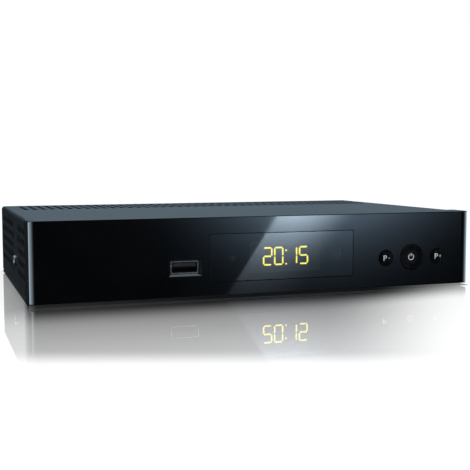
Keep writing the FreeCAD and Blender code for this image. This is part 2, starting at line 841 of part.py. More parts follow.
def window_wire(y, margin):
    """Outline of the window on an upright plane, drawn in by a margin."""
    centre = Vector(window_x0 + window_width / 2, y, window_z0 + window_height / 2)
    width = window_width - 2 * margin
    height = window_height - 2 * margin
    return rounded(centre, X, Z, width, height, window_corner)


def usb_mouth():
    """Cutter of the opening round the USB socket, with its bevel."""
    wires = []
    for y, shrink in ((front - tiny, 0), (front + usb_mouth_chamfer, usb_mouth_chamfer)):
        half_x = usb_mouth_width / 2 - shrink
        half_z = usb_mouth_height / 2 - shrink
        corners = ((-1, -1), (1, -1), (1, 1), (-1, 1))
        points = [Vector(usb_x + i * half_x, y, usb_z + j * half_z) for i, j in corners]
        wires.append(outline(points))
    bevel = Part.makeLoft(wires, True)
    width = usb_mouth_width - 2 * usb_mouth_chamfer
    height = usb_mouth_height - 2 * usb_mouth_chamfer
    y0 = front + usb_mouth_chamfer / 2
    through = facing(usb_x, usb_z, width, height, y0, front + 2 * panel_wall)
    return bevel.fuse(through)


def fascia_hooks():
    """Barbed hooks under the panel's rim that snap into the tray's front edge."""
    back = front + panel_depth
    root_low = panel_low + panel_rim - lap
    low = tray_low + hook_rise
    high = low + hook_thickness
    barb_start = tray_front + sheet + hook_play
    end = barb_start + hook_barb_length
    hooks = []
    for x in hook_places:
        x0 = x - hook_width / 2
        x1 = x + hook_width / 2
        hooks.append(block(x0, x1, back - hook_root, back, root_low, high))
        hooks.append(block(x0, x1, back - hook_root, end, low, high))
        barb = (
            Vector(x0, barb_start, high),
            Vector(x0, barb_start, high + hook_barb),
            Vector(x0, end, high),
        )
        hooks.append(prism(barb, X * hook_width))
    return hooks


def front_fascia():
    """Moulded front panel with its rim, window seat, bosses, tongue and hooks."""
    back = front + panel_depth
    body = block(-half_width, half_width, front, back, panel_low, panel_top)
    upright = edges_at(body, lambda b: b.YMax < front + tiny and b.XLength < tiny)
    body = body.makeFillet(panel_corner, upright)
    level = edges_at(body, lambda b: b.ZLength < tiny and b.YMin < back - tiny)
    body = body.makeFillet(panel_edge, level)
    inside = half_width - panel_rim
    low = panel_low + panel_rim
    high = panel_top - panel_rim
    body = body.cut(block(-inside, inside, front + panel_wall, back + past, low, high))
    parts = [body]
    boss_length = front_board_setback - panel_wall + lap
    for x, z in front_boss_places:
        parts.append(rod(front_boss_diameter / 2, Vector(x, front + panel_wall - lap, z), Y, boss_length))
    tongue_top = cover_top - sheet - sheet_gap
    tongue_low = tongue_top - panel_tongue_wall
    reach = cover_half - sheet - cover_bend
    parts.append(block(-reach, reach, back - tongue_root, back + panel_tongue, tongue_low, tongue_top))
    panel = union(parts + fascia_hooks())
    cuts = [Part.Face(window_wire(front - past, 0)).extrude(Y * (past + window_thickness))]
    deep = front + 2 * panel_wall
    cuts.append(facing(display_x, display_z, display_view_width, display_view_height, front, deep))
    for x, diameter in ((receiver_x, receiver_view_diameter), (lamp_x, lamp_view_diameter)):
        cuts.append(rod(diameter / 2, Vector(x, front, display_z), Y, 2 * panel_wall))
    for x, radius in button_places():
        hole = radius + button_gap
        cuts.append(rod(hole, Vector(x, front - past, button_z), Y, past + 2 * panel_wall))
        start = Vector(x, front - tiny, button_z)
        cuts.append(Part.makeCone(hole + hole_bevel, hole, hole_bevel, start, Y))
    cuts.append(usb_mouth())
    bore_start = front + front_board_setback - board_screw_bite
    for x, z in front_boss_places:
        place = Vector(x, bore_start, z)
        cuts.append(rod(front_boss_bore / 2 + screw_seat_gap, place, Y, board_screw_bite + past))
    return panel.cut(cuts)


def display_window():
    """Smoked pane that lies flush in its seat in the front panel."""
    pane = Part.Face(window_wire(front, window_line)).extrude(Y * window_thickness)
    rim = edges_at(pane, lambda b: b.YMax < front + tiny)
    return pane.makeChamfer(window_bevel, rim)


def button_body(x, radius, face):
    """Button from its face outline: hollow cap, collar and stem."""
    wall = front + panel_wall + button_rest_gap
    back = wall + button_flange
    switch_front = front + front_board_setback - switch_body_height - plunger_reach
    outer = radius + button_flange_lap
    skin_back = front + power_dish + button_skin
    corner = Vector(x + radius, wall, button_z)
    points = [
        corner,
        Vector(x + outer, wall, button_z),
        Vector(x + outer, back, button_z),
        Vector(x + radius - button_shell, back, button_z),
        Vector(x + radius - button_shell, skin_back, button_z),
        Vector(x + button_stem_diameter / 2, skin_back, button_z),
        Vector(x + button_stem_diameter / 2, switch_front, button_z),
        Vector(x, switch_front, button_z),
    ]
    edges = list(face)
    edges.append(Part.LineSegment(face[-1].valueAt(face[-1].LastParameter), corner).toShape())
    for a, b in zip(points, points[1:]):
        edges.append(Part.LineSegment(a, b).toShape())
    start = face[0].valueAt(face[0].FirstParameter)
    edges.append(Part.LineSegment(points[-1], start).toShape())
    section = Part.Face(Part.Wire(edges))
    return section.revolve(Vector(x, front, button_z), Y, 360)


def power_button():
    """Large round button with a dished face."""
    x = power_x
    radius = power_diameter / 2
    floor = power_floor_diameter / 2
    rim = radius - power_rim
    top = front - power_proud
    k = button_round * (1 - math.sqrt(0.5))
    points = [
        Vector(x, top + power_dish, button_z),
        Vector(x + floor, top + power_dish, button_z),
        Vector(x + rim, top, button_z),
        Vector(x + radius - button_round, top, button_z),
    ]
    face = [Part.LineSegment(a, b).toShape() for a, b in zip(points, points[1:])]
    middle = Vector(x + radius - k, top + k, button_z)
    end = Vector(x + radius, top + button_round, button_z)
    face.append(Part.Arc(points[-1], middle, end).toShape())
    return button_body(x, radius, face)


def small_button(x):
    """Small round button with a domed face."""
    radius = side_button_diameter / 2
    top = front - side_button_proud
    sphere = (radius * radius + side_button_crown * side_button_crown) / (2 * side_button_crown)
    half = math.asin(radius / sphere) / 2
    middle = Vector(x + sphere * math.sin(half), top + sphere * (1 - math.cos(half)), button_z)
    end = Vector(x + radius, top + side_button_crown, button_z)
    face = [Part.Arc(Vector(x, top, button_z), middle, end).toShape()]
    return button_body(x, radius, face)


def plunger(x):
    """Plunger of a push switch, in front of the switch and inside it."""
    y0 = front + front_board_setback - switch_body_height - plunger_reach
    return rod(plunger_diameter / 2, Vector(x, y0, button_z), Y, plunger_reach + plunger_depth)


def push_switch(x):
    """Body of a push switch, with the well for its plunger."""
    y1 = front + front_board_setback
    y0 = y1 - switch_body_height
    half = switch_side / 2
    body = block(x - half, x + half, y0, y1, button_z - half, button_z + half)
    well = plunger_depth + button_travel + switch_well_spare
    start = Vector(x, y0 - past, button_z)
    return body.cut(rod(plunger_diameter / 2 + plunger_gap, start, Y, past + well))


# ---------------------------------------------------------------- front board
def front_board():
    """Board behind the front panel."""
    sheet_body = block(board_x0, board_x1, front_board_y, front_board_y + board, board_z0, board_z1)
    cuts = []
    for x, z in front_boss_places:
        place = Vector(x, front_board_y - past, z)
        cuts.append(rod(board_screw_diameter / 2 + screw_hole_gap, place, Y, board + 2 * past))
    return sheet_body.cut(cuts)


def front_board_screws():
    """Screws that hold the front board to the panel's bosses."""
    length = board + board_screw_bite - screw_end_play
    sizes = (length, board_screw_diameter, board_screw_head, board_screw_head_height)
    seat_y = front_board_y + board
    return group([screw(Vector(x, seat_y, z), Y * -1, *sizes) for x, z in front_boss_places])


def digit_front():
    """Front face of the display's digit block."""
    return front + window_thickness + digit_block_gap


def display_block():
    """Moulded digit block between the window and the front board."""
    return facing(display_x, display_z, digit_block_width, digit_block_height, digit_front(), front_board_y)


def stroke(x, z, length, level):
    """One bar of a digit, with pointed ends, on the digit block."""
    half = length / 2
    side = digit_stroke / 2
    local = (
        (-half, 0),
        (-half + side, side),
        (half - side, side),
        (half, 0),
        (half - side, -side),
        (-half + side, -side),
    )
    y = digit_front() - digit_thickness
    points = [Vector(x + (u if level else v), y, z + (v if level else u)) for u, v in local]
    return prism(points, Y * digit_thickness)


def digit_strokes(x):
    """The seven bars of a digit by letter, its middle at x."""
    level = digit_width - digit_stroke
    upright = (digit_height - digit_stroke) / 2
    bar = level - digit_mitre
    post = upright - digit_mitre
    right = x + level / 2
    left = x - level / 2
    upper = display_z + upright / 2
    lower = display_z - upright / 2
    return {
        "a": stroke(x, display_z + upright, bar, True),
        "b": stroke(right, upper, post, False),
        "c": stroke(right, lower, post, False),
        "d": stroke(x, display_z - upright, bar, True),
        "e": stroke(left, lower, post, False),
        "f": stroke(left, upper, post, False),
        "g": stroke(x, display_z, bar, True),
    }


def display_strokes():
    """Lit and unlit bars of a clock reading."""
    bars = {"0": "abcdef", "1": "bc", "2": "abged", "5": "afgcd"}
    lit = []
    unlit = []
    start = display_x - (3 * digit_pitch + digit_colon_gap) / 2
    for i, figure in enumerate(clock_reading):
        x = start + i * digit_pitch + (digit_colon_gap if i > 1 else 0)
        for letter, bar in digit_strokes(x).items():
            (lit if letter in bars[figure] else unlit).append(bar)
    x = display_x + colon_offset
    y = digit_front() - digit_thickness
    for side in (-1, 1):
        z = display_z - colon_drop + side * colon_half
        lit.append(facing(x, z, digit_stroke, digit_stroke, y, digit_front()))
    return group(lit), group(unlit)


def infrared_receiver():
    """Infrared receiver: block on the front board with a round lens."""
    y0 = front_board_y - receiver_depth
    body = facing(receiver_x, display_z, receiver_side, receiver_side, y0, front_board_y)
    lens = Part.makeSphere(receiver_lens_radius, Vector(receiver_x, y0, display_z))
    keep = facing(receiver_x, display_z, receiver_side, receiver_side, y0 - receiver_side, y0 + lap)
    return union([body, lens.common(keep)])


def standby_lamp():
    """Small round lamp behind the window."""
    spacer_front = front_board_y - lamp_spacer_length
    dome_centre = front + window_thickness + digit_block_gap + lamp_radius
    body = rod(lamp_radius, Vector(lamp_x, dome_centre, display_z), Y, spacer_front - dome_centre)
    dome = Part.makeSphere(lamp_radius, Vector(lamp_x, dome_centre, display_z))
    start = Vector(lamp_x, spacer_front - lamp_flange_height, display_z)
    flange = rod(lamp_radius + lamp_flange, start, Y, lamp_flange_height)
    return union([body, dome, flange])


def lamp_spacer():
    """Plastic spacer that holds the lamp off the front board."""
    start = Vector(lamp_x, front_board_y - lamp_spacer_length, display_z)
    return rod(lamp_radius + lamp_spacer_rim, start, Y, lamp_spacer_length)


# ---------------------------------------------------------------- main board
def main_board_span():
    """Board's side, front and rear."""
    return tray_half - sheet - main_board_margin, front + main_board_front, rear_inside - main_board_rear


def main_board():
    """Main circuit board with a tongue under the USB socket."""
    side, y0, y1 = main_board_span()
    centre = Vector(0, (y0 + y1) / 2, main_low)
    wire = rounded(centre, X, Y, 2 * side, y1 - y0, main_board_corner)
    half = usb_shell_width / 2 + usb_board_margin
    tongue = block(usb_x - half, usb_x + half, front + usb_board_setback, y0 + lap, main_low, main_top)
    body = union([Part.Face(wire).extrude(Z * board), tongue])
    cuts = []
    for x, y in standoff_places:
        place = Vector(x, front + y, main_low - past)
        cuts.append(rod(board_screw_radius + screw_hole_gap, place, Z, board + 2 * past))
    return body.cut(cuts)


def standoffs():
    """Riveted posts that carry the main board."""
    posts = []
    for x, y in standoff_places:
        place = Vector(x, front + y, tray_floor)
        post = rod(standoff_diameter / 2, place, Z, main_low - tray_floor)
        rivet = rod(standoff_rivet / 2, Vector(x, front + y, tray_low), Z, sheet + tiny)
        start = Vector(x, front + y, main_low - standoff_bore)
        bore = rod(board_screw_radius + screw_seat_gap, start, Z, standoff_bore + past)
        posts.append(union([post, rivet]).cut(bore))
    return group(posts)


def main_board_screws():
    """Screws that hold the main board to its posts."""
    length = board + standoff_bore - screw_end_play
    sizes = (length, 2 * board_screw_radius, screw_head_diameter, screw_head_height)
    return group([screw(Vector(x, front + y, main_top), Z * -1, *sizes) for x, y in standoff_places])


def usb_shell():
    """Folded metal shell of the USB socket."""
    y0 = front + usb_setback
    y1 = y0 + usb_shell_length
    outer = facing(usb_x, usb_z, usb_shell_width, usb_shell_height, y0, y1)
    outer = outer.makeFillet(usb_shell_bend, along_edges(outer, usb_shell_length))
    width = usb_shell_width - 2 * usb_shell_wall
    height = usb_shell_height - 2 * usb_shell_wall
    hollow = facing(usb_x, usb_z, width, height, y0 - past, y1 + past)
    hollow = hollow.makeFillet(usb_shell_bend - usb_shell_wall, along_edges(hollow, usb_shell_length))
    return outer.cut(hollow)


def usb_tongue_low():
    """Underside of the USB socket's tongue."""
    return main_top + usb_shell_height - usb_shell_wall - usb_tongue_drop - usb_tongue_thickness


def usb_insulator():
    """Plastic tongue of the USB socket and the block that closes its rear."""
    y0 = front + usb_setback
    y1 = y0 + usb_shell_length
    width = usb_shell_width - 2 * (usb_shell_wall + snug)
    height = usb_shell_height - 2 * (usb_shell_wall + snug)
    rear_block = facing(usb_x, usb_z, width, height, y1 - usb_back, y1)
    rear_block = rear_block.makeFillet(usb_shell_bend - usb_shell_wall, along_edges(rear_block, usb_back))
    z = usb_tongue_low() + usb_tongue_thickness / 2
    start = y0 + usb_tongue_setback
    tongue = facing(usb_x, z, usb_tongue_width, usb_tongue_thickness, start, y1 - usb_back + lap)
    return union([rear_block, tongue])


def usb_contacts():
    """Four spring contacts under the USB socket's tongue."""
    z = usb_tongue_low() - usb_contact_height / 2
    y0 = front + usb_setback + usb_tongue_setback + usb_contact_setback
    y1 = y0 + usb_contact_length
    strips = []
    for i in range(usb_contact_count):
        x = usb_x + (i - (usb_contact_count - 1) / 2) * usb_contact_pitch
        strips.append(facing(x, z, usb_contact_width, usb_contact_height, y0, y1))
    return group(strips)


# ---------------------------------------------------------------- aerial sockets
def tuner_span():
    """Tuner can's middle, and its front and rear faces."""
    rear_face = rear_inside - tuner_setback
    return tuner_x, rear_face - tuner_length, rear_face


def tuner_can():
    """Tin can of the tuner, open at the top."""
    x, y0, y1 = tuner_span()
    half = tuner_width / 2
    top = main_top + tuner_height - tuner_wall
    can = block(x - half, x + half, y0, y1, main_top, top)
    inner = half - tuner_wall
    floor = main_top + tuner_wall
    hollow = block(x - inner, x + inner, y0 + tuner_wall, y1 - tuner_wall, floor, top + past)
    return can.cut(hollow)


def tuner_lid():
    """Lid of the tuner can, with a skirt that grips its sides."""
    x, y0, y1 = tuner_span()
    out = tuner_lid_gap + tuner_wall
    half = tuner_width / 2 + out
    top = main_top + tuner_height
    low = top - tuner_lid_lap
    lid = block(x - half, x + half, y0 - out, y1, low, top)
    inner = tuner_width / 2 + tuner_lid_gap
    hollow = block(x - inner, x + inner, y0 - tuner_lid_gap, y1 + past, low - past, top - tuner_wall)
    return lid.cut(hollow)


def barrel_end():
    """Free end of the aerial sockets' barrels."""
    return rear + barrel_reach


def barrel(x):
    """Threaded barrel of an aerial socket, with its flange behind the rear wall."""
    z = main_top + lnb_height
    start = rear_inside - tuner_setback
    flange = rod(barrel_flange_radius, Vector(x, start, z), Y, tuner_setback)
    nut_face = rear + washer_thickness + nut_thickness
    root = rod(barrel_root_radius, Vector(x, start, z), Y, nut_face - start)
    free = rod(barrel_radius, Vector(x, nut_face, z), Y, barrel_end() - nut_face)
    bore = rod(barrel_bore, Vector(x, start - past, z), Y, barrel_end() - start + 2 * past)
    return union([flange, root, free]).cut(bore)


def socket_plug(x):
    """White insulator in the bore of an aerial socket."""
    z = main_top + lnb_height
    start = rear_inside - tuner_setback
    end = barrel_end() - barrel_hole_depth
    body = rod(barrel_bore - snug, Vector(x, start, z), Y, end - start)
    hole = Vector(x, end - barrel_pin_depth, z)
    return body.cut(rod(barrel_pin_hole, hole, Y, barrel_pin_depth + past))


def nut(x):
    """Hexagonal nut of an aerial socket."""
    z = main_top + lnb_height
    y = rear + washer_thickness
    points = []
    corner = nut_width / math.sqrt(3)
    for i in range(6):
        angle = math.radians(60 * i)
        points.append(Vector(x + corner * math.sin(angle), y, z + corner * math.cos(angle)))
    body = prism(points, Y * nut_thickness)
    wide = nut_width / 2 + nut_crown
    narrow = nut_width / 2 - nut_crown
    dome = Part.makeCone(wide, narrow, nut_thickness, Vector(x, y, z), Y)
    hole = rod(barrel_root_radius + snug, Vector(x, y - past, z), Y, nut_thickness + 2 * past)
    return body.common(dome).cut(hole)


def washer(x):
    """Flat washer behind a nut."""
    z = main_top + lnb_height
    disc = rod(washer_diameter / 2, Vector(x, rear, z), Y, washer_thickness)
    start = Vector(x, rear - past, z)
    return disc.cut(rod(barrel_root_radius + snug, start, Y, washer_thickness + 2 * past))


# ---------------------------------------------------------------- signal sockets
def ethernet_shell():
    """Metal shield round the network socket."""
    y1 = rear + rear_socket_reach
    y0 = y1 - ethernet_length
    wall = ethernet_wall
    outer = facing(ethernet_x, main_top + ethernet_height / 2, ethernet_width, ethernet_height, y0, y1)
    half = ethernet_width / 2 - wall
    top = main_top + ethernet_height - wall
    inner = block(ethernet_x - half, ethernet_x + half, y0 + wall, y1 + past, main_top - past, top)
    return outer.cut(inner)


def ethernet_mouth():
    """Low and high edge of the network socket's mouth, and its inner end."""
    low = main_top + ethernet_mouth_rise
    return low, low + ethernet_mouth_height, rear + rear_socket_reach - ethernet_mouth_depth


def ethernet_insulator():
    """Plastic body of the network socket with its mouth."""
    y1 = rear + rear_socket_reach
    y0 = y1 - ethernet_length + ethernet_wall + snug
    half = ethernet_width / 2 - ethernet_wall - snug
    top = main_top + ethernet_height - ethernet_wall - snug
    body = block(ethernet_x - half, ethernet_x + half, y0, y1, main_top, top)
    low, high, end = ethernet_mouth()
    mouth = facing(ethernet_x, (low + high) / 2, ethernet_mouth_width, high - low, end, y1 + past)
    half = ethernet_key_width / 2
    key = block(ethernet_x - half, ethernet_x + half, end, y1 + past, low - ethernet_key_height, low + lap)
    return body.cut([mouth, key])


def ethernet_contact_wires():
    """Eight contact wires along the roof of the network socket's mouth."""
    low, high, end = ethernet_mouth()
    wires = []
    for i in range(ethernet_contacts):
        x = ethernet_x + (i - (ethernet_contacts - 1) / 2) * ethernet_contact_pitch
        half = ethernet_contact_width / 2
        y1 = end + ethernet_contact_length
        wires.append(block(x - half, x + half, end, y1, high - ethernet_contact_height, high))
    return group(wires)


def hdmi_points(y, margin):
    """Outline of the video socket."""
    low = main_top + hdmi_rise
    return cut_corner_points(hdmi_x, y, low, hdmi_width, hdmi_height, hdmi_shoulder, hdmi_shoulder, margin)


def hdmi_shell():
    """Metal shell of the video socket, on two feet on the board."""
    y1 = rear + rear_socket_reach
    y0 = y1 - hdmi_length
    shell = prism(hdmi_points(y0, 0), Y * hdmi_length)
    shell = shell.cut(prism(hdmi_points(y0 - past, hdmi_wall), Y * (hdmi_length + 2 * past)))
    half = hdmi_width / 2
    feet = []
    for side in (-1, 1):
        x0, x1 = sorted((hdmi_x + side * half, hdmi_x + side * (half - hdmi_wall)))
        high = main_top + hdmi_rise + hdmi_shoulder + lap
        feet.append(block(x0, x1, y0, y0 + hdmi_foot, main_top, high))
    return union([shell] + feet)


def hdmi_insulator():
    """Plastic tongue of the video socket and the block that carries it."""
    y1 = rear + rear_socket_reach
    y0 = y1 - hdmi_length
    back = prism(hdmi_points(y0, hdmi_wall + snug), Y * hdmi_back)
    middle = main_top + hdmi_rise + hdmi_height / 2
    tongue = facing(hdmi_x, middle, hdmi_tongue_width, hdmi_tongue_height, y0, y1 - hdmi_tongue_setback)
    return union([back, tongue])


def scart_points(y, margin):
    """Outline of the audio and video socket."""
    low = main_top + scart_rise
    return cut_corner_points(scart_x, y, low, scart_width, scart_height, scart_corner, 0, margin)


def scart_shell():
    """Metal shroud of the audio and video socket, on feet on the board."""
    y1 = rear + rear_socket_reach
    y0 = y1 - scart_length
    shell = prism(scart_points(y0, 0), Y * scart_length)
    shell = shell.cut(prism(scart_points(y0 - past, scart_shell_wall), Y * (scart_length + 2 * past)))
    low = main_top + scart_rise + scart_shell_wall
    feet = []
    for x in (scart_x - scart_width / 4, scart_x + scart_width / 4):
        feet.append(block(x - scart_foot / 2, x + scart_foot / 2, y0, y0 + scart_foot, main_top, low))
    return union([shell] + feet)


def scart_slots():
    """Middles of the slots in the audio and video socket, x and z."""
    z = main_top + scart_rise + scart_height / 2
    places = []
    for row in (-1, 1):
        for i in range(scart_slot_count):
            x = scart_x + (i - (scart_slot_count - 1) / 2) * scart_slot_pitch
            places.append((x + row * scart_slot_pitch / 4 + scart_corner / 4, z + row * scart_row_offset))
    return places


def scart_insulator():
    """Plastic island of the audio and video socket, with its slots."""
    y1 = rear + rear_socket_reach
    y0 = y1 - scart_length
    back = prism(scart_points(y0, scart_shell_wall + snug), Y * (scart_length - scart_groove_depth))
    island_length = scart_length - scart_island_setback
    island = prism(scart_points(y0, scart_shell_wall + scart_groove), Y * island_length)
    cuts = []
    for x, z in scart_slots():
        cuts.append(facing(x, z, scart_slot_width, scart_slot_height, y1 - scart_slot_depth, y1 + past))
    return union([back, island]).cut(cuts)


def scart_contacts():
    """Spring blades in the slots of the audio and video socket."""
    y0 = rear + rear_socket_reach - scart_slot_depth
    blades = []
    for x, z in scart_slots():
        middle = x - (scart_slot_width - scart_blade) / 2
        blades.append(facing(middle, z, scart_blade, scart_blade_height, y0, y0 + scart_blade_length))
    return group(blades)


def digital_audio_body():
    """Plastic body and core of the digital audio socket."""
    z = main_top + spdif_axis
    half = spdif_body / 2
    y0 = rear_inside - spdif_length
    body = block(spdif_x - half, spdif_x + half, y0, rear_inside, main_top, z + spdif_axis)
    end = rear + spdif_sleeve_reach - spdif_core_setback
    core = rod(spdif_sleeve_bore - snug, Vector(spdif_x, rear_inside - lap, z), Y, end - rear_inside + lap)
    hole = rod(spdif_pin_bore, Vector(spdif_x, end - spdif_pin_depth, z), Y, spdif_pin_depth + past)
    return union([body, core]).cut(hole)


def digital_audio_sleeve():
    """Metal sleeve of the digital audio socket."""
    z = main_top + spdif_axis
    length = sheet + spdif_sleeve_reach
    sleeve = rod(spdif_sleeve_radius, Vector(spdif_x, rear_inside, z), Y, length)
    rim = edges_at(sleeve, lambda b: b.YMin > rear_inside + length - tiny)
    sleeve = sleeve.makeFillet(spdif_sleeve_round, rim)
    start = Vector(spdif_x, rear_inside - past, z)
    return sleeve.cut(rod(spdif_sleeve_bore, start, Y, length + 2 * past))


def dc_jack():
    """Plastic body of the low-voltage supply socket."""
    y1 = rear + rear_socket_reach
    y0 = y1 - dc_length
    body = facing(dc_x, main_top + dc_height / 2, dc_body, dc_height, y0, y1)
    start = Vector(dc_x, y1 - dc_bore_depth, main_top + dc_axis)
    return body.cut(rod(dc_bore_radius, start, Y, dc_bore_depth + past))


def dc_pin():
    """Centre pin of the supply socket."""
    start = rear + rear_socket_reach - dc_bore_depth
    length = dc_bore_depth - dc_pin_setback
    pin = rod(dc_pin_radius, Vector(dc_x, start, main_top + dc_axis), Y, length)
    tip = edges_at(pin, lambda b: b.YMin > start + length - tiny)
    return pin.makeFillet(dc_pin_round, tip)


# ---------------------------------------------------------------- power rocker
def switch_case():
    """Housing of the power rocker, snapped into the rear panel."""
    y0 = rear - switch_case_depth
    y1 = rear + switch_bezel
    width = 2 * switch_half_x
    height = 2 * switch_half_z
    case = facing(rocker_x, rocker_pivot_z, width, height, y0, y1)
    wide = 2 * switch_bezel_lap
    bezel = facing(rocker_x, rocker_pivot_z, width + wide, height + wide, rear, y1)
    rim = edges_at(bezel, lambda b: b.YMax > rear + tiny)
    bezel = bezel.makeFillet(switch_bezel_round, rim)
    thick = 2 * switch_wall
    hollow = facing(rocker_x, rocker_pivot_z, width - thick, height - thick, y0 + switch_wall, y1 + past)
    start = Vector(rocker_x - switch_half_x - past, rocker_pivot_y, rocker_pivot_z)
    axle = rod(rocker_axle_radius + rocker_axle_gap, start, X, width + 2 * past)
    return union([case, bezel]).cut([hollow, axle])


def rocker():
    """Power rocker with its two axle stubs, in its ON place."""
    slope = math.tan(math.radians(rocker_tilt))
    r = rocker_radius
    v0 = rocker_valley
    u1 = (-v0 * slope + math.sqrt(r * r * (1 + slope * slope) - v0 * v0)) / (1 + slope * slope)
    v1 = v0 + u1 * slope
    u2 = math.sqrt(r * r - rocker_sink * rocker_sink)
    x0 = rocker_x - rocker_width / 2

    def point(u, v):
        return Vector(x0, rocker_pivot_y + v, rocker_pivot_z + u)

    edges = [
        Part.LineSegment(point(0, v0), point(u1, v1)).toShape(),
        Part.Arc(point(u1, v1), point(r, 0), point(u2, -rocker_sink)).toShape(),
        Part.LineSegment(point(u2, -rocker_sink), point(-u2, -rocker_sink)).toShape(),
        Part.Arc(point(-u2, -rocker_sink), point(-r, 0), point(-u1, v1)).toShape(),
        Part.LineSegment(point(-u1, v1), point(0, v0)).toShape(),
    ]
    body = Part.Face(Part.Wire(edges)).extrude(X * rocker_width)
    reach = rocker_play + rocker_axle_length
    start = Vector(x0 - reach, rocker_pivot_y, rocker_pivot_z)
    axle = rod(rocker_axle_radius, start, X, rocker_width + 2 * reach)
    pivot = Vector(rocker_x, rocker_pivot_y, rocker_pivot_z)
    return turned(union([body, axle]), pivot, X, rocker_tilt)


def switch_terminals():
    """Two blades on the inner end of the switch housing."""
    y1 = rear - switch_case_depth
    y0 = y1 - terminal_reach
    blades = []
    for side in (-1, 1):
        x = rocker_x + side * terminal_offset
        blades.append(facing(x, rocker_pivot_z, terminal_thickness, terminal_width, y0, y1))
    return group(blades)


def header_place():
    """Middle of the supply header on the main board."""
    y = rear - switch_case_depth - terminal_reach - wire_run - wire_bend
    return rocker_x, y


def supply_header():
    """Plastic header that takes the switch's wires."""
    x, y = header_place()
    return centred(x, y, header_width, header_depth, main_top, main_top + header_height)


def switch_wires():
    """Two insulated wires from the switch's terminals down to the header."""
    x0, y0 = header_place()
    z0 = main_top + header_height
    wires = []
    for side in (-1, 1):
        x = x0 + side * terminal_offset
        start = Vector(x, rear - switch_case_depth - terminal_reach, rocker_pivot_z)
        level = rod(wire_radius, start, Y * -1, wire_run)
        corner = start - Y * wire_run
        centre = corner - Z * wire_bend
        ring = Part.makeTorus(wire_bend, wire_radius, centre, X)
        reach = wire_bend + 2 * wire_radius
        sector = block(x - reach, x + reach, centre.y - reach, centre.y, centre.z, centre.z + reach)
        bend = ring.common(sector)
        foot_point = Vector(x, corner.y - wire_bend, z0)
        fall = rod(wire_radius, foot_point, Z, corner.z - wire_bend - z0)
        wires.append(union([level, bend, fall]))
    return group(wires)


# ---------------------------------------------------------------- card reader
def reader_frame():
    """Frame of the card reader, open towards the slot in the cover's side."""
    inner = card_width / 2 + card_play
    outer = inner + reader_side
    y = front + reader_y
    low = card_slot_z - card_slot_height / 2
    high = card_slot_z + card_slot_height / 2
    roof = high + reader_roof
    body = block(reader_x0, reader_x1, y - outer, y + outer, main_top, roof)
    way = block(reader_x0 + reader_side, reader_x1 + past, y - inner, y + inner, low, high)
    x0 = reader_x0 + reader_window_margin
    half = inner - reader_window_margin
    window = block(x0, x0 + reader_window, y - half, y + half, high - tiny, roof + past)
    return body.cut([way, window])


def reader_contacts():
    """Eight contact springs on the floor of the card's way."""
    x0 = reader_x0 + card_pad_x
    y = front + reader_y
    low = card_slot_z - card_slot_height / 2
    pads = []
    for i in range(card_pad_rows):
        for j in range(card_pads_per_row):
            cx = x0 + (i - (card_pad_rows - 1) / 2) * card_pad_pitch_x
            cy = y + (j - (card_pads_per_row - 1) / 2) * card_pad_pitch_y
            pads.append(centred(cx, cy, card_pad_size, card_pad_size, low, low + card_pad_height))
    return group(pads)


# ---------------------------------------------------------------- board parts
def chip(x, y, size):
    """Flat chip on the main board."""
    return centred(x, front + y, size[0], size[1], main_top, main_top + size[2])


def heatsink():
    """Finned heatsink over the processor."""
    z0 = main_top + processor_height + pad_thickness
    y = front + processor_y
    parts = [centred(processor_x, y, heatsink_side, heatsink_side, z0, z0 + heatsink_base)]
    pitch = (heatsink_side - heatsink_fin) / (heatsink_fins - 1)
    for i in range(heatsink_fins):
        x = processor_x - heatsink_side / 2 + heatsink_fin / 2 + i * pitch
        top = z0 + heatsink_height
        parts.append(centred(x, y, heatsink_fin, heatsink_side, z0 + heatsink_base - lap, top))
    return union(parts)


def capacitors():
    """Upright electrolytic capacitors."""
    cans = []
    for inset, y in can_places:
        can = rod(can_radius, Vector(half_width - inset, front + y, main_top), Z, can_height)
        top = edges_at(can, lambda b: b.ZMin > main_top + can_height - tiny)
        cans.append(can.makeFillet(can_round, top))
    return cans


def coils():
    """Square power coils."""
    size = (coil_side, coil_side, coil_height)
    return [chip(half_width - inset, y, size) for inset, y in coil_places]


def ribbon():
    """Flat ribbon from the front board's socket down to the main board's."""
    x0 = ribbon_x - ribbon_width / 2
    y0 = front_board_y + board + ribbon_socket_depth
    y1 = front + ribbon_main_y
    z1 = panel_top - ribbon_drop
    z0 = main_top + ribbon_socket_height
    t = ribbon_thickness / 2
    r_out = ribbon_bend + t
    r_in = ribbon_bend - t
    centre_y = y1 - ribbon_bend
    centre_z = z1 - ribbon_bend
    k = math.sqrt(0.5)

    def point(y, z):
        return Vector(x0, y, z)

    edges = [
        Part.LineSegment(point(y0, z1 + t), point(centre_y, z1 + t)).toShape(),
        Part.Arc(
            point(centre_y, z1 + t),
            point(centre_y + r_out * k, centre_z + r_out * k),
            point(y1 + t, centre_z),
        ).toShape(),
        Part.LineSegment(point(y1 + t, centre_z), point(y1 + t, z0)).toShape(),
        Part.LineSegment(point(y1 + t, z0), point(y1 - t, z0)).toShape(),
        Part.LineSegment(point(y1 - t, z0), point(y1 - t, centre_z)).toShape(),
        Part.Arc(
            point(y1 - t, centre_z),
            point(centre_y + r_in * k, centre_z + r_in * k),
            point(centre_y, z1 - t),
        ).toShape(),
        Part.LineSegment(point(centre_y, z1 - t), point(y0, z1 - t)).toShape(),
        Part.LineSegment(point(y0, z1 - t), point(y0, z1 + t)).toShape(),
    ]
    return Part.Face(Part.Wire(edges)).extrude(X * ribbon_width)


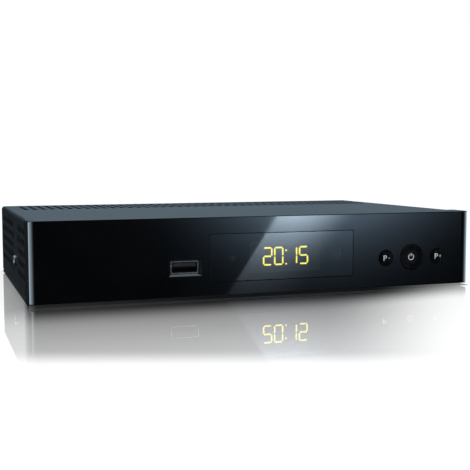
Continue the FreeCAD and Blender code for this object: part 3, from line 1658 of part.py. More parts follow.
def ribbon_sockets():
    """Sockets at the two ends of the ribbon."""
    width = ribbon_socket_width
    deep = ribbon_socket_depth
    y = front_board_y + board
    upper = facing(ribbon_x, panel_top - ribbon_drop, width, ribbon_socket_height, y, y + deep)
    top = main_top + ribbon_socket_height
    lower = centred(ribbon_x, front + ribbon_main_y, width, deep, main_top, top)
    return upper, lower


# ---------------------------------------------------------------- all nodes
def all_nodes():
    """Every sub-part by name."""
    down, up = side_button_x
    lit, unlit = display_strokes()
    memory = [chip(x, memory_y, memory_size) for x in memory_x] + [chip(*flash_place, flash_size)]
    processor_size = (processor_side, processor_side, processor_height)
    pad = (processor_x, front + processor_y, processor_side, processor_side)
    pad_low = main_top + processor_height
    return {
        "base_tray": base_tray(),
        "rear_panel": rear_panel(),
        "top_cover": top_cover(),
        "cover_screws": cover_screws(),
        "rubber_feet": group([foot(x, y) for x, y in foot_places()]),
        "front_fascia": front_fascia(),
        "display_window": display_window(),
        "power_button": power_button(),
        "channel_down_button": small_button(down),
        "channel_up_button": small_button(up),
        "power_plunger": plunger(power_x),
        "channel_down_plunger": plunger(down),
        "channel_up_plunger": plunger(up),
        "push_switches": group([push_switch(x) for x in (power_x, down, up)]),
        "front_board": front_board(),
        "front_board_screws": front_board_screws(),
        "display_block": display_block(),
        "lit_strokes": lit,
        "unlit_strokes": unlit,
        "infrared_receiver": infrared_receiver(),
        "standby_lamp": standby_lamp(),
        "lamp_spacer": lamp_spacer(),
        "main_board": main_board(),
        "board_standoffs": standoffs(),
        "main_board_screws": main_board_screws(),
        "usb_shell": usb_shell(),
        "usb_insulator": usb_insulator(),
        "usb_contacts": usb_contacts(),
        "tuner_can": tuner_can(),
        "tuner_lid": tuner_lid(),
        "lnb_in_barrel": barrel(lnb_in_x),
        "lnb_out_barrel": barrel(lnb_out_x),
        "barrel_insulators": group([socket_plug(x) for x in (lnb_in_x, lnb_out_x)]),
        "barrel_nuts": group([nut(x) for x in (lnb_in_x, lnb_out_x)]),
        "barrel_washers": group([washer(x) for x in (lnb_in_x, lnb_out_x)]),
        "ethernet_shell": ethernet_shell(),
        "ethernet_insulator": ethernet_insulator(),
        "ethernet_contacts": ethernet_contact_wires(),
        "hdmi_shell": hdmi_shell(),
        "hdmi_insulator": hdmi_insulator(),
        "scart_shell": scart_shell(),
        "scart_insulator": scart_insulator(),
        "scart_contacts": scart_contacts(),
        "digital_audio_body": digital_audio_body(),
        "digital_audio_sleeve": digital_audio_sleeve(),
        "dc_jack": dc_jack(),
        "dc_pin": dc_pin(),
        "switch_case": switch_case(),
        "power_rocker": rocker(),
        "switch_terminals": switch_terminals(),
        "switch_wires": switch_wires(),
        "board_headers": group([supply_header()] + list(ribbon_sockets())),
        "ribbon_cable": ribbon(),
        "card_reader_frame": reader_frame(),
        "card_reader_contacts": reader_contacts(),
        "processor": chip(processor_x, processor_y, processor_size),
        "thermal_pad": centred(*pad, pad_low, pad_low + pad_thickness),
        "heatsink": heatsink(),
        "memory_chips": group(memory),
        "capacitors_and_coils": group(capacitors() + coils()),
    }


for node, shape in all_nodes().items():
    shape.exportStep("parts/%s.step" % node)
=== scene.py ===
import math

import bmesh
import bpy
from mathutils import Matrix, Vector
from mathutils.bvhtree import BVHTree


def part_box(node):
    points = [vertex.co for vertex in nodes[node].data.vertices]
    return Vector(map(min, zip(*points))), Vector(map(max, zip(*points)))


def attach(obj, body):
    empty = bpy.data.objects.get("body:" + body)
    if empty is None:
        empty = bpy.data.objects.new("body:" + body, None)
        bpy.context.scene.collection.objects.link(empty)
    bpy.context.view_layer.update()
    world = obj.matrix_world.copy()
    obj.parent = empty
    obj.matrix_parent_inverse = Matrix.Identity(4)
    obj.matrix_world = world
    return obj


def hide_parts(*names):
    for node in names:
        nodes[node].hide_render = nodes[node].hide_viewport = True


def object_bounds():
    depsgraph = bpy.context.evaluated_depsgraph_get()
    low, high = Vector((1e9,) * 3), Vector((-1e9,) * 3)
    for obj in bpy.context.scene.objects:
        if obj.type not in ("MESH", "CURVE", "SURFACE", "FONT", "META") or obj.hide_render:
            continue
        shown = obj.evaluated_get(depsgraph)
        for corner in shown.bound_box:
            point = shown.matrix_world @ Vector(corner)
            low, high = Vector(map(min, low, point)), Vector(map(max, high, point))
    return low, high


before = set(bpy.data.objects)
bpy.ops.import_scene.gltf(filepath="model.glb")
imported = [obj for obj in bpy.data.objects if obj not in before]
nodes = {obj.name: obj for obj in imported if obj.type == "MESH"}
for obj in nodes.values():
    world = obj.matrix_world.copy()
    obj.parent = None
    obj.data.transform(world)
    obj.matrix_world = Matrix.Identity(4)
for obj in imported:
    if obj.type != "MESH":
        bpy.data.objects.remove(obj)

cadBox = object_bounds()
mm = 0.001

# the sides of the case that places are measured from
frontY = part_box("front_fascia")[0].y
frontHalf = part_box("front_fascia")[1].x
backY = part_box("rear_panel")[1].y
lidHalf, lidBack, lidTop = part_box("top_cover")[1]
print("loaded the receiver:", len(nodes), "parts")


# helpers for node trees
def put(tree, kind, inputs=None, **settings):
    node = tree.nodes.new("ShaderNode" + kind)
    for name, value in settings.items():
        setattr(node, name, value)
    for name, value in (inputs or {}).items():
        if isinstance(value, bpy.types.NodeSocket):
            tree.links.new(value, node.inputs[name])
        else:
            node.inputs[name].default_value = value
    return node


def calc(tree, operation, first, second=0.0, third=0.0, clamp=False):
    node = put(tree, "Math", {0: first, 1: second, 2: third},
               operation=operation, use_clamp=clamp)
    return node.outputs[0]


def smooth(tree, value, start, end, low=0.0, high=1.0):
    node = put(tree, "MapRange", {0: value, 1: start, 2: end, 3: low, 4: high},
               interpolation_type="SMOOTHSTEP")
    return node.outputs[0]


def remap(tree, value, start, end, low=0.0, high=1.0):
    return put(tree, "MapRange", {0: value, 1: start, 2: end, 3: low, 4: high}).outputs[0]


def blendColour(tree, amount, first, second):
    node = put(tree, "Mix", data_type="RGBA")
    for index, value in ((0, amount), (6, first), (7, second)):
        if isinstance(value, bpy.types.NodeSocket):
            tree.links.new(value, node.inputs[index])
        elif index:
            node.inputs[index].default_value = (*value, 1.0)
        else:
            node.inputs[index].default_value = value
    return node.outputs[2]


def times(tree, first, *others):
    for other in others:
        first = calc(tree, "MULTIPLY", first, other)
    return first


def without(tree, value):
    return calc(tree, "SUBTRACT", 1.0, value)


def between(tree, amount, first, second):
    return put(tree, "Mix", {0: amount, 2: first, 3: second}).outputs[0]


def scaled(tree, colour, amount):
    return put(tree, "VectorMath", {0: colour, "Scale": amount}, operation="SCALE").outputs[0]


def grey(tree, level):
    return put(tree, "CombineXYZ", {0: level, 1: level, 2: level}).outputs[0]


# noise mostly lies between these two values
def spread(tree, noise, low=0.0, high=1.0):
    return remap(tree, noise, 0.3, 0.7, low, high)


def objectPlace(tree):
    return put(tree, "TexCoord").outputs["Object"]


def axesOf(tree, vector):
    return put(tree, "SeparateXYZ", {0: vector}).outputs


def faceNormal(tree):
    return put(tree, "NewGeometry").outputs["Normal"]


def startGroup(name, inputs, outputs):
    group = bpy.data.node_groups.new(name, "ShaderNodeTree")
    for label, kind, value in inputs:
        socket = group.interface.new_socket(label, in_out="INPUT", socket_type="NodeSocket" + kind)
        socket.default_value = value
    for label, kind in outputs:
        group.interface.new_socket(label, in_out="OUTPUT", socket_type="NodeSocket" + kind)
    source = group.nodes.new("NodeGroupInput").outputs
    result = group.nodes.new("NodeGroupOutput").inputs
    return group, source, result


def useGroup(tree, group, **values):
    node = tree.nodes.new("ShaderNodeGroup")
    node.node_tree = group
    for name, value in values.items():
        node.inputs[name].default_value = value
    return node.outputs


# effects that several finishes share
def makeGrain():
    group, source, result = startGroup(
        "fineGrain", [("Scale", "Float", 800.0), ("Detail", "Float", 3.0)],
        [("Grain", "Float"), ("Cloud", "Float")])
    place = objectPlace(group)
    fine = put(group, "TexNoise", {"Vector": place, "Scale": source["Scale"],
                                   "Detail": source["Detail"], "Roughness": 0.55})
    wide = calc(group, "DIVIDE", source["Scale"], 24.0)
    cloud = put(group, "TexNoise", {"Vector": place, "Scale": wide, "Detail": 4.0})
    group.links.new(fine.outputs[0], result["Grain"])
    group.links.new(smooth(group, cloud.outputs[0], 0.35, 0.68), result["Cloud"])
    return group


def makeWear():
    group, source, result = startGroup(
        "edgeWear", [("Radius", "Float", 0.0004), ("Amount", "Float", 1.0), ("Scale", "Float", 300.0)],
        [("Mask", "Float")])
    rounded = put(group, "Bevel", {"Radius": source["Radius"]}, samples=4)
    facing = put(group, "VectorMath", {0: rounded.outputs[0], 1: faceNormal(group)},
                 operation="DOT_PRODUCT")
    edge = smooth(group, without(group, facing.outputs["Value"]), 0.01, 0.16)
    patch = put(group, "TexNoise", {"Vector": objectPlace(group), "Scale": source["Scale"], "Detail": 5.0})
    broken = smooth(group, patch.outputs[0], 0.38, 0.66)
    worn = times(group, edge, broken)
    group.links.new(calc(group, "MULTIPLY", worn, source["Amount"], clamp=True), result["Mask"])
    return group


def makeDust():
    group, source, result = startGroup(
        "restingDust", [("Amount", "Float", 0.1), ("Scale", "Float", 220.0)], [("Mask", "Float")])
    level = smooth(group, axesOf(group, faceNormal(group))["Z"], 0.35, 0.95)
    specks = put(group, "TexNoise", {"Vector": objectPlace(group), "Scale": source["Scale"], "Detail": 6.0,
                                     "Roughness": 0.7})
    patchy = smooth(group, specks.outputs[0], 0.42, 0.72, 0.25, 1.0)
    group.links.new(times(group, level, patchy, source["Amount"]), result["Mask"])
    return group


def makeBrushing():
    group, source, result = startGroup(
        "brushing", [("Scale", "Float", 500.0), ("Stretch", "Vector", (1.0, 12.0, 12.0))],
        [("Streak", "Float")])
    along = put(group, "VectorMath", {0: objectPlace(group), 1: source["Stretch"]}, operation="MULTIPLY")
    lines = put(group, "TexNoise", {"Vector": along.outputs[0], "Scale": source["Scale"], "Detail": 4.0})
    group.links.new(lines.outputs[0], result["Streak"])
    return group


grain = makeGrain()
wear = makeWear()
dust = makeDust()
brushing = makeBrushing()
print("shared effects ready")


# each finish starts from one shader
def startMaterial(name):
    material = bpy.data.materials.new(name)
    material.use_nodes = True
    tree = material.node_tree
    tree.nodes.clear()
    output = put(tree, "OutputMaterial")
    shader = put(tree, "BsdfPrincipled")
    tree.links.new(shader.outputs[0], output.inputs["Surface"])
    return material, tree, shader


def feed(tree, shader, **sockets):
    names = {"colour": "Base Color", "rough": "Roughness", "metal": "Metallic", "glow": "Emission Color"}
    for name, value in sockets.items():
        if isinstance(value, bpy.types.NodeSocket):
            tree.links.new(value, shader.inputs[names[name]])
        else:
            shader.inputs[names[name]].default_value = value


def addBump(tree, shader, height, distance, strength):
    bump = put(tree, "Bump", {"Height": height, "Distance": distance, "Strength": strength})
    tree.links.new(bump.outputs[0], shader.inputs["Normal"])


# powder paint on the folded steel, with painted shade in its slot walls and over the punched field, and the
# reach of its cuts and of the punched field in metres
casePaint = {"dark": (0.0030, 0.0041, 0.0050), "light": (0.0047, 0.0062, 0.0074),
             "worn": (0.030, 0.036, 0.040), "dusty": (0.10, 0.10, 0.10), "rough": (0.40, 0.50),
             "grainScale": 2600.0, "grainDepth": 0.00003, "wearRadius": 0.0004, "wear": 0.12,
             "dust": 0.04, "specular": 0.38, "cut": (0.0015, 0.0018, 0.002), "cutSlope": 0.6,
             "cutInset": 0.004, "sheet": 0.0011, "fieldShadeColour": (0.0050, 0.0066, 0.0080), "fieldShade": 0.62,
             "fieldReach": 0.0452, "fieldEdge": 0.0006}


def makeCasePaint(values=casePaint):
    material, tree, shader = startMaterial("casePaint")
    texture = useGroup(tree, grain, Scale=values["grainScale"], Detail=2.0)
    edge = useGroup(tree, wear, Radius=values["wearRadius"], Amount=values["wear"], Scale=900.0)["Mask"]
    film = useGroup(tree, dust, Amount=values["dust"], Scale=500.0)["Mask"]
    paint = blendColour(tree, texture["Cloud"], values["dark"], values["light"])
    paint = blendColour(tree, edge, paint, values["worn"])
    paint = blendColour(tree, film, paint, values["dusty"])
    rough = spread(tree, texture["Grain"], *values["rough"])
    # the walls of the punched slots in the top are rough, and painted darker as painted shade inside the
    # slots
    place = axesOf(tree, objectPlace(tree))
    upward = calc(tree, "ABSOLUTE", axesOf(tree, faceNormal(tree))["Z"])
    inTop = calc(tree, "GREATER_THAN", place["Z"], lidTop - values["sheet"])
    offSides = calc(tree, "LESS_THAN", calc(tree, "ABSOLUTE", place["X"]), lidHalf - values["cutInset"])
    offBack = calc(tree, "LESS_THAN", place["Y"], lidBack - values["cutInset"])
    cut = times(tree, calc(tree, "LESS_THAN", upward, values["cutSlope"]), inTop, offSides, offBack)
    # the punched field at the back of the top is painted darker and partly metallic, as painted shade for
    # its open slots
    fieldFront = lidBack - values["fieldReach"]
    fieldShade = times(tree, inTop, smooth(tree, place["Y"], fieldFront - values["fieldEdge"], fieldFront),
                 values["fieldShade"])
    paint = blendColour(tree, fieldShade, paint, values["fieldShadeColour"])
    feed(tree, shader, colour=blendColour(tree, cut, paint, values["cut"]), metal=fieldShade,
         rough=between(tree, cut, rough, 1.0))
    shader.inputs["Specular IOR Level"].default_value = values["specular"]
    addBump(tree, shader, texture["Grain"], values["grainDepth"], 0.25)
    return material


# piano gloss of the front, and the softer gloss of the buttons
glossBlack = {"dark": (0.0009, 0.0010, 0.0013), "light": (0.0015, 0.0017, 0.0021), "rough": (0.025, 0.05),
              "ripple": 45.0, "rippleDepth": 0.000004, "wear": 0.15, "worn": (0.012, 0.013, 0.015),
              "specular": 0.5, "mattEdges": 0.9, "mattRight": 0.0, "endSlope": 0.26}
buttonBlack = {"dark": (0.0016, 0.0018, 0.0022), "light": (0.0026, 0.0029, 0.0034), "rough": (0.20, 0.30),
               "ripple": 220.0, "rippleDepth": 0.000006, "wear": 0.2, "worn": (0.012, 0.013, 0.015),
               "specular": 0.18, "mattEdges": 0.0, "mattRight": 0.95, "endSlope": 0.0}

# where both change, by how far a face is turned and how near it is to the front's ends
turning = {"flat": (0.80, 0.95), "slanted": (0.25, 0.50), "rightward": (0.08, 0.24),
           "satin": (0.42, 0.52), "endsClear": (0.0067, 0.0037), "endRun": 0.0047}


# the front starts to curve a little before its rounded ends
def curveEnds(tree, shader, place, slope, run=turning["endRun"]):
    along = calc(tree, "SUBTRACT", calc(tree, "ABSOLUTE", place), frontHalf - run)
    along = calc(tree, "MINIMUM", calc(tree, "MAXIMUM", calc(tree, "DIVIDE", along, run), 0.0), 1.0)
    circle = 2 * math.pi
    wave = times(tree, calc(tree, "SINE", times(tree, along, circle)), 1 / circle)
    drop = times(tree, calc(tree, "SUBTRACT", along, wave), -slope * run / 2)
    bend = put(tree, "Bump", {"Height": drop, "Distance": 1.0, "Strength": 1.0})
    bump = shader.inputs["Normal"].links[0].from_node
    tree.links.new(bend.outputs[0], bump.inputs["Normal"])


def makeGloss(name, values):
    material, tree, shader = startMaterial(name)
    texture = useGroup(tree, grain, Scale=1400.0, Detail=3.0)
    edge = useGroup(tree, wear, Radius=0.0002, Amount=values["wear"], Scale=1200.0)["Mask"]
    colour = blendColour(tree, texture["Cloud"], values["dark"], values["light"])
    colour = blendColour(tree, edge, colour, values["worn"])
    low, high = values["rough"]
    smear = put(tree, "TexNoise", {"Vector": objectPlace(tree), "Scale": 60.0, "Detail": 5.0})
    # faces that look up, down or back keep the mould's fine texture
    facing = axesOf(tree, faceNormal(tree))
    flat = calc(tree, "MAXIMUM", calc(tree, "ABSOLUTE", facing["Z"]), facing["Y"])
    polished = remap(tree, smear.outputs[0], 0.3, 0.75, low, high)
    satin = spread(tree, texture["Grain"], *turning["satin"])
    rough = between(tree, smooth(tree, flat, *turning["flat"]), polished, satin)
    # sideways and downward edges of the openings stay matt, but not the rounded ends
    place = axesOf(tree, objectPlace(tree))["X"]
    turned = calc(tree, "MAXIMUM", calc(tree, "ABSOLUTE", facing["X"]), times(tree, facing["Z"], -1.0))
    clearFrom, clearFull = turning["endsClear"]
    nearEnd = smooth(tree, calc(tree, "ABSOLUTE", place), frontHalf - clearFrom, frontHalf - clearFull)
    matt = times(tree, smooth(tree, turned, *turning["slanted"]), without(tree, nearEnd),
                 values["mattEdges"])
    mattRight = times(tree, smooth(tree, facing["X"], *turning["rightward"]), values["mattRight"])
    rough = between(tree, calc(tree, "MAXIMUM", matt, mattRight), rough, 1.0)
    feed(tree, shader, colour=colour, rough=rough)
    shader.inputs["Specular IOR Level"].default_value = values["specular"]
    ripple = put(tree, "TexNoise", {"Vector": objectPlace(tree), "Scale": values["ripple"], "Detail": 1.0})
    addBump(tree, shader, ripple.outputs[0], values["rippleDepth"], 0.3)
    curveEnds(tree, shader, place, values["endSlope"])
    return material


# smoked pane over the clock
smokedPane = {"clear": (0.10, 0.105, 0.11), "tinted": (0.085, 0.09, 0.10), "edge": (0.001, 0.001, 0.001),
              "rough": 0.02, "index": 1.60}


def makePane(values=smokedPane):
    material, tree, shader = startMaterial("smokedPane")
    texture = useGroup(tree, grain, Scale=700.0, Detail=2.0)
    colour = blendColour(tree, texture["Cloud"], values["clear"], values["tinted"])
    # the sawn edges are matt, and painted near black as painted shade in the groove around the pane
    facing = axesOf(tree, faceNormal(tree))["Y"]
    flat = smooth(tree, calc(tree, "ABSOLUTE", facing), 0.90, 0.98)
    feed(tree, shader, colour=blendColour(tree, flat, values["edge"], colour),
         rough=remap(tree, flat, 0.0, 1.0, 0.8, values["rough"]))
    shader.inputs["IOR"].default_value = values["index"]
    shader.inputs["Transmission Weight"].default_value = 1.0
    ripple = put(tree, "TexNoise", {"Vector": objectPlace(tree), "Scale": 50.0, "Detail": 1.0})
    addBump(tree, shader, ripple.outputs[0], 0.000003, 0.3)
    return material


# moulded plastics and rubbers: colour pair, roughness pair, grain and depth
mouldings = {
    "mattBlack": {"dark": (0.012, 0.012, 0.013), "light": (0.020, 0.020, 0.021), "rough": (0.5, 0.68),
                  "scale": 2200.0, "depth": 0.00003, "wear": 0.3, "worn": (0.06, 0.06, 0.06)},
    "whiteNylon": {"dark": (0.60, 0.59, 0.54), "light": (0.74, 0.73, 0.69), "rough": (0.38, 0.52),
                   "scale": 1500.0, "depth": 0.00001, "wear": 0.2, "worn": (0.80, 0.79, 0.75)},
    "orangePlastic": {"dark": (0.62, 0.16, 0.02), "light": (0.76, 0.23, 0.035), "rough": (0.36, 0.5),
                      "scale": 1600.0, "depth": 0.00001, "wear": 0.25, "worn": (0.82, 0.36, 0.12)},
    "footRubber": {"dark": (0.014, 0.014, 0.014), "light": (0.028, 0.027, 0.026), "rough": (0.72, 0.9),
                   "scale": 1800.0, "depth": 0.00005, "wear": 0.5, "worn": (0.07, 0.068, 0.065)},
    "siliconePad": {"dark": (0.29, 0.30, 0.34), "light": (0.37, 0.38, 0.42), "rough": (0.6, 0.75),
                    "scale": 900.0, "depth": 0.00003, "wear": 0.1, "worn": (0.45, 0.46, 0.5)},
    "chipResin": {"dark": (0.010, 0.010, 0.011), "light": (0.019, 0.019, 0.020), "rough": (0.5, 0.7),
                  "scale": 3000.0, "depth": 0.00002, "wear": 0.2, "worn": (0.05, 0.05, 0.05)},
    "wireSleeve": {"dark": (0.40, 0.018, 0.016), "light": (0.52, 0.03, 0.025), "rough": (0.32, 0.45),
                   "scale": 900.0, "depth": 0.00001, "wear": 0.1, "worn": (0.6, 0.1, 0.08)},
    "displayResin": {"dark": (0.0003, 0.0003, 0.0004), "light": (0.0006, 0.0006, 0.0006),
                     "rough": (0.9, 1.0), "scale": 1800.0, "depth": 0.00001, "wear": 0.1,
                     "worn": (0.0008, 0.0008, 0.0008), "specular": 0.0},
    "unlitBar": {"dark": (0.0060, 0.0050, 0.0030), "light": (0.0080, 0.0070, 0.0040), "rough": (0.5, 0.6),
                 "scale": 1500.0, "depth": 0.00001, "wear": 0.1, "worn": (0.04, 0.04, 0.03)},
    "receiverResin": {"dark": (0.0030, 0.0018, 0.0030), "light": (0.0050, 0.0030, 0.0050),
                      "rough": (0.10, 0.16), "scale": 900.0, "depth": 0.00001, "wear": 0.1,
                      "worn": (0.04, 0.03, 0.04)},
    "legendInk": {"dark": (0.62, 0.64, 0.65), "light": (0.80, 0.81, 0.82), "rough": (0.42, 0.55),
                  "scale": 6000.0, "depth": 0.000004, "wear": 0.0, "worn": (0.8, 0.8, 0.8)},
}


def makeMoulding(name):
    values = mouldings[name]
    material, tree, shader = startMaterial(name)
    texture = useGroup(tree, grain, Scale=values["scale"], Detail=3.0)
    edge = useGroup(tree, wear, Radius=0.0003, Amount=values["wear"], Scale=800.0)["Mask"]
    film = useGroup(tree, dust, Amount=0.05, Scale=500.0)["Mask"]
    colour = blendColour(tree, texture["Cloud"], values["dark"], values["light"])
    colour = blendColour(tree, edge, colour, values["worn"])
    colour = blendColour(tree, film, colour, (0.32, 0.31, 0.29))
    feed(tree, shader, colour=colour, rough=spread(tree, texture["Grain"], *values["rough"]))
    shader.inputs["Specular IOR Level"].default_value = values.get("specular", 0.5)
    addBump(tree, shader, texture["Grain"], values["depth"], 0.4)
    return material


# metals: colour pair, roughness pair, brushing and its direction
metals = {
    "tinnedSteel": {"dark": (0.50, 0.50, 0.48), "light": (0.68, 0.68, 0.66), "rough": (0.22, 0.38),
                    "scale": 260.0, "stretch": (1.0, 9.0, 9.0), "depth": 0.000008,
                    "stain": (0.34, 0.34, 0.33)},
    # the socket's inside colour is painted shade behind its lips
    "socketSteel": {"dark": (0.62, 0.62, 0.63), "light": (0.78, 0.78, 0.78), "rough": (0.25, 0.38),
                    "scale": 260.0, "stretch": (1.0, 9.0, 9.0), "depth": 0.000008, "stain": (0.5, 0.5, 0.5),
                    "inside": (0.045, 0.045, 0.05), "lips": (0.0022, 0.0030)},
    "blackScrew": {"dark": (0.20, 0.21, 0.23), "light": (0.30, 0.32, 0.35), "rough": (0.30, 0.44),
                   "scale": 500.0, "stretch": (3.0, 3.0, 3.0), "depth": 0.000008,
                   "stain": (0.26, 0.27, 0.28)},
    "nickel": {"dark": (0.60, 0.585, 0.55), "light": (0.74, 0.73, 0.70), "rough": (0.14, 0.26),
               "scale": 320.0, "stretch": (6.0, 1.0, 6.0), "depth": 0.000006,
               "stain": (0.46, 0.44, 0.40)},
    "contactGold": {"dark": (0.72, 0.50, 0.17), "light": (0.86, 0.65, 0.28), "rough": (0.16, 0.28),
                    "scale": 500.0, "stretch": (1.0, 1.0, 8.0), "depth": 0.000004,
                    "stain": (0.5, 0.34, 0.12)},
    "bareAluminium": {"dark": (0.52, 0.53, 0.54), "light": (0.67, 0.68, 0.69), "rough": (0.28, 0.42),
                      "scale": 300.0, "stretch": (10.0, 1.0, 10.0), "depth": 0.00001,
                      "stain": (0.4, 0.4, 0.4)},
}


def makeMetal(name):
    values = metals[name]
    material, tree, shader = startMaterial(name)
    streak = useGroup(tree, brushing, Scale=values["scale"], Stretch=values["stretch"])["Streak"]
    texture = useGroup(tree, grain, Scale=1300.0, Detail=3.0)
    colour = blendColour(tree, spread(tree, streak), values["dark"], values["light"])
    colour = blendColour(tree, times(tree, texture["Cloud"], 0.3), colour, values["stain"])
    # painted shade: the socket's steel is painted dark behind its lips, where shade falls inside it
    if "inside" in values:  # a socket is dark behind its lips
        deep = calc(tree, "SUBTRACT", axesOf(tree, objectPlace(tree))["Y"], frontY)
        colour = blendColour(tree, smooth(tree, deep, *values["lips"]), colour, values["inside"])
    feed(tree, shader, colour=colour, metal=1.0, rough=spread(tree, streak, *values["rough"]))
    addBump(tree, shader, streak, values["depth"], 0.3)
    return material


# solder mask over copper tracks, with bare pads
laminate = {"mask": (0.012, 0.075, 0.035), "track": (0.022, 0.13, 0.055), "pad": (0.66, 0.60, 0.46),
            "pitch": 190.0, "padPitch": 340.0}


def makeLaminate(values=laminate):
    material, tree, shader = startMaterial("solderMask")
    place = objectPlace(tree)
    turned = put(tree, "Mapping", {"Vector": place, "Rotation": (0.35, 0.0, 0.0)}).outputs[0]
    cells = put(tree, "TexVoronoi", {"Vector": turned, "Scale": values["pitch"]},
                distance="MANHATTAN", feature="F1")
    edges = put(tree, "Math", {0: cells.outputs["Distance"], 1: 0.22}, operation="PINGPONG")
    track = smooth(tree, edges.outputs[0], 0.10, 0.14)
    dots = put(tree, "TexVoronoi", {"Vector": turned, "Scale": values["padPitch"], "Randomness": 0.7})
    pad = smooth(tree, dots.outputs["Distance"], 0.16, 0.13)
    colour = blendColour(tree, track, values["mask"], values["track"])
    colour = blendColour(tree, pad, colour, values["pad"])
    feed(tree, shader, colour=colour, metal=pad, rough=remap(tree, track, 0.0, 1.0, 0.32, 0.24))
    addBump(tree, shader, calc(tree, "ADD", track, pad), 0.00003, 0.5)
    return material


# electrolytic cans and coils: blue-black sleeve, bare crimped tops
def makeCanSleeve():
    material, tree, shader = startMaterial("canSleeve")
    texture = useGroup(tree, grain, Scale=900.0, Detail=3.0)
    top = smooth(tree, axesOf(tree, faceNormal(tree))["Z"], 0.90, 0.96)
    colour = blendColour(tree, texture["Cloud"], (0.020, 0.030, 0.075), (0.030, 0.042, 0.10))
    colour = blendColour(tree, top, colour, (0.60, 0.61, 0.62))
    feed(tree, shader, colour=colour, metal=top, rough=spread(tree, texture["Grain"], 0.28, 0.4))
    addBump(tree, shader, texture["Grain"], 0.00001, 0.3)
    return material


# flat cable: pale film over grey conductors
def makeRibbon():
    material, tree, shader = startMaterial("ribbonFilm")
    across = axesOf(tree, objectPlace(tree))["X"]
    stripe = calc(tree, "PINGPONG", across, 0.0005)
    lane = smooth(tree, stripe, 0.00018, 0.00028)
    texture = useGroup(tree, grain, Scale=900.0, Detail=2.0)
    film = blendColour(tree, texture["Cloud"], (0.66, 0.65, 0.62), (0.74, 0.73, 0.70))
    feed(tree, shader, colour=blendColour(tree, lane, film, (0.42, 0.42, 0.42)),
         rough=spread(tree, texture["Grain"], 0.22, 0.34))
    addBump(tree, shader, lane, 0.00005, 0.5)
    return material


# lit clock bars, brighter along their middle
litBars = {"core": (1.0, 0.84, 0.09), "warm": (1.0, 0.75, 0.05), "rim": (0.05, 0.06, 0.0015),
           "edge": 0.00024, "strength": 12.0}


def makeLitBars(values=litBars):
    material, tree, shader = startMaterial("litBars")
    texture = useGroup(tree, grain, Scale=2400.0, Detail=2.0)
    rounded = put(tree, "Bevel", {"Radius": values["edge"]}, samples=8).outputs[0]
    facing = put(tree, "VectorMath", {0: rounded, 1: faceNormal(tree)}, operation="DOT_PRODUCT")
    rim = smooth(tree, without(tree, facing.outputs["Value"]), 0.004, 0.10)
    colour = blendColour(tree, times(tree, texture["Cloud"], 0.4), values["core"], values["warm"])
    colour = blendColour(tree, rim, colour, values["rim"])
    feed(tree, shader, colour=(0.25, 0.2, 0.05, 1.0), glow=colour, rough=0.45)
    shader.inputs["Emission Strength"].default_value = values["strength"]
    return material


def makeLamp():
    material, tree, shader = startMaterial("lampResin")
    texture = useGroup(tree, grain, Scale=500.0, Detail=2.0)
    colour = blendColour(tree, texture["Cloud"], (0.05, 0.003, 0.002), (0.08, 0.005, 0.004))
    feed(tree, shader, colour=colour, rough=0.12)
    shader.inputs["Transmission Weight"].default_value = 0.6
    return material


finishes = {"casePaint": makeCasePaint(), "glossBlack": makeGloss("glossBlack", glossBlack),
            "buttonBlack": makeGloss("buttonBlack", buttonBlack), "smokedPane": makePane(),
            "solderMask": makeLaminate(), "canSleeve": makeCanSleeve(), "ribbonFilm": makeRibbon(),
            "litBars": makeLitBars(), "lampResin": makeLamp()}
finishes.update({name: makeMoulding(name) for name in mouldings})
finishes.update({name: makeMetal(name) for name in metals})

finishOf = {
    "casePaint": ["base_tray", "rear_panel", "top_cover"],
    "glossBlack": ["front_fascia"],
    "buttonBlack": ["power_button", "channel_down_button", "channel_up_button"],
    "smokedPane": ["display_window"],
    "mattBlack": ["power_plunger", "channel_down_plunger", "channel_up_plunger", "push_switches",
                  "lamp_spacer", "usb_insulator", "ethernet_insulator", "hdmi_insulator",
                  "scart_insulator", "dc_jack", "switch_case", "power_rocker", "card_reader_frame"],
    "whiteNylon": ["barrel_insulators", "board_headers"],
    "orangePlastic": ["digital_audio_body"],
    "footRubber": ["rubber_feet"],
    "siliconePad": ["thermal_pad"],
    "chipResin": ["processor", "memory_chips"],
    "wireSleeve": ["switch_wires"],
    "displayResin": ["display_block"],
    "unlitBar": ["unlit_strokes"],
    "receiverResin": ["infrared_receiver"],
    "lampResin": ["standby_lamp"],
    "litBars": ["lit_strokes"],
    "solderMask": ["front_board", "main_board"],
    "canSleeve": ["capacitors_and_coils"],
    "ribbonFilm": ["ribbon_cable"],
    "socketSteel": ["usb_shell"],
    "tinnedSteel": ["tuner_can", "tuner_lid", "ethernet_shell", "hdmi_shell", "scart_shell"],
    "blackScrew": ["cover_screws", "front_board_screws", "main_board_screws"],
    "nickel": ["board_standoffs", "lnb_in_barrel", "lnb_out_barrel", "barrel_nuts", "barrel_washers",
               "digital_audio_sleeve", "dc_pin"],
    "contactGold": ["usb_contacts", "ethernet_contacts", "scart_contacts", "switch_terminals",
                    "card_reader_contacts"],
    "bareAluminium": ["heatsink"],
}
for finish, names in finishOf.items():
    for name in names:
        nodes[name].data.materials.clear()
        nodes[name].data.materials.append(finishes[finish])
plain = sorted(set(nodes) - {name for names in finishOf.values() for name in names})
print("finishes laid on; without one:", plain)


# pieces made here ride on the body they are fixed to
def newPiece(name, mesh, finish, body="receiver_case"):
    piece = bpy.data.objects.new(name, mesh)
    bpy.context.scene.collection.objects.link(piece)
    piece.data.materials.append(finishes[finish])
    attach(piece, body)
    return piece


def meshOf(name, shape, smoothAngle=None):
    mesh = bpy.data.meshes.new(name)
    shape.to_mesh(mesh)
    shape.free()
    if smoothAngle:
        mesh.shade_smooth()
        mesh.set_sharp_from_angle(angle=math.radians(smoothAngle))
    return mesh


ink = {"thick": 0.02 * mm, "lift": 0.004 * mm, "castFrom": 20 * mm}


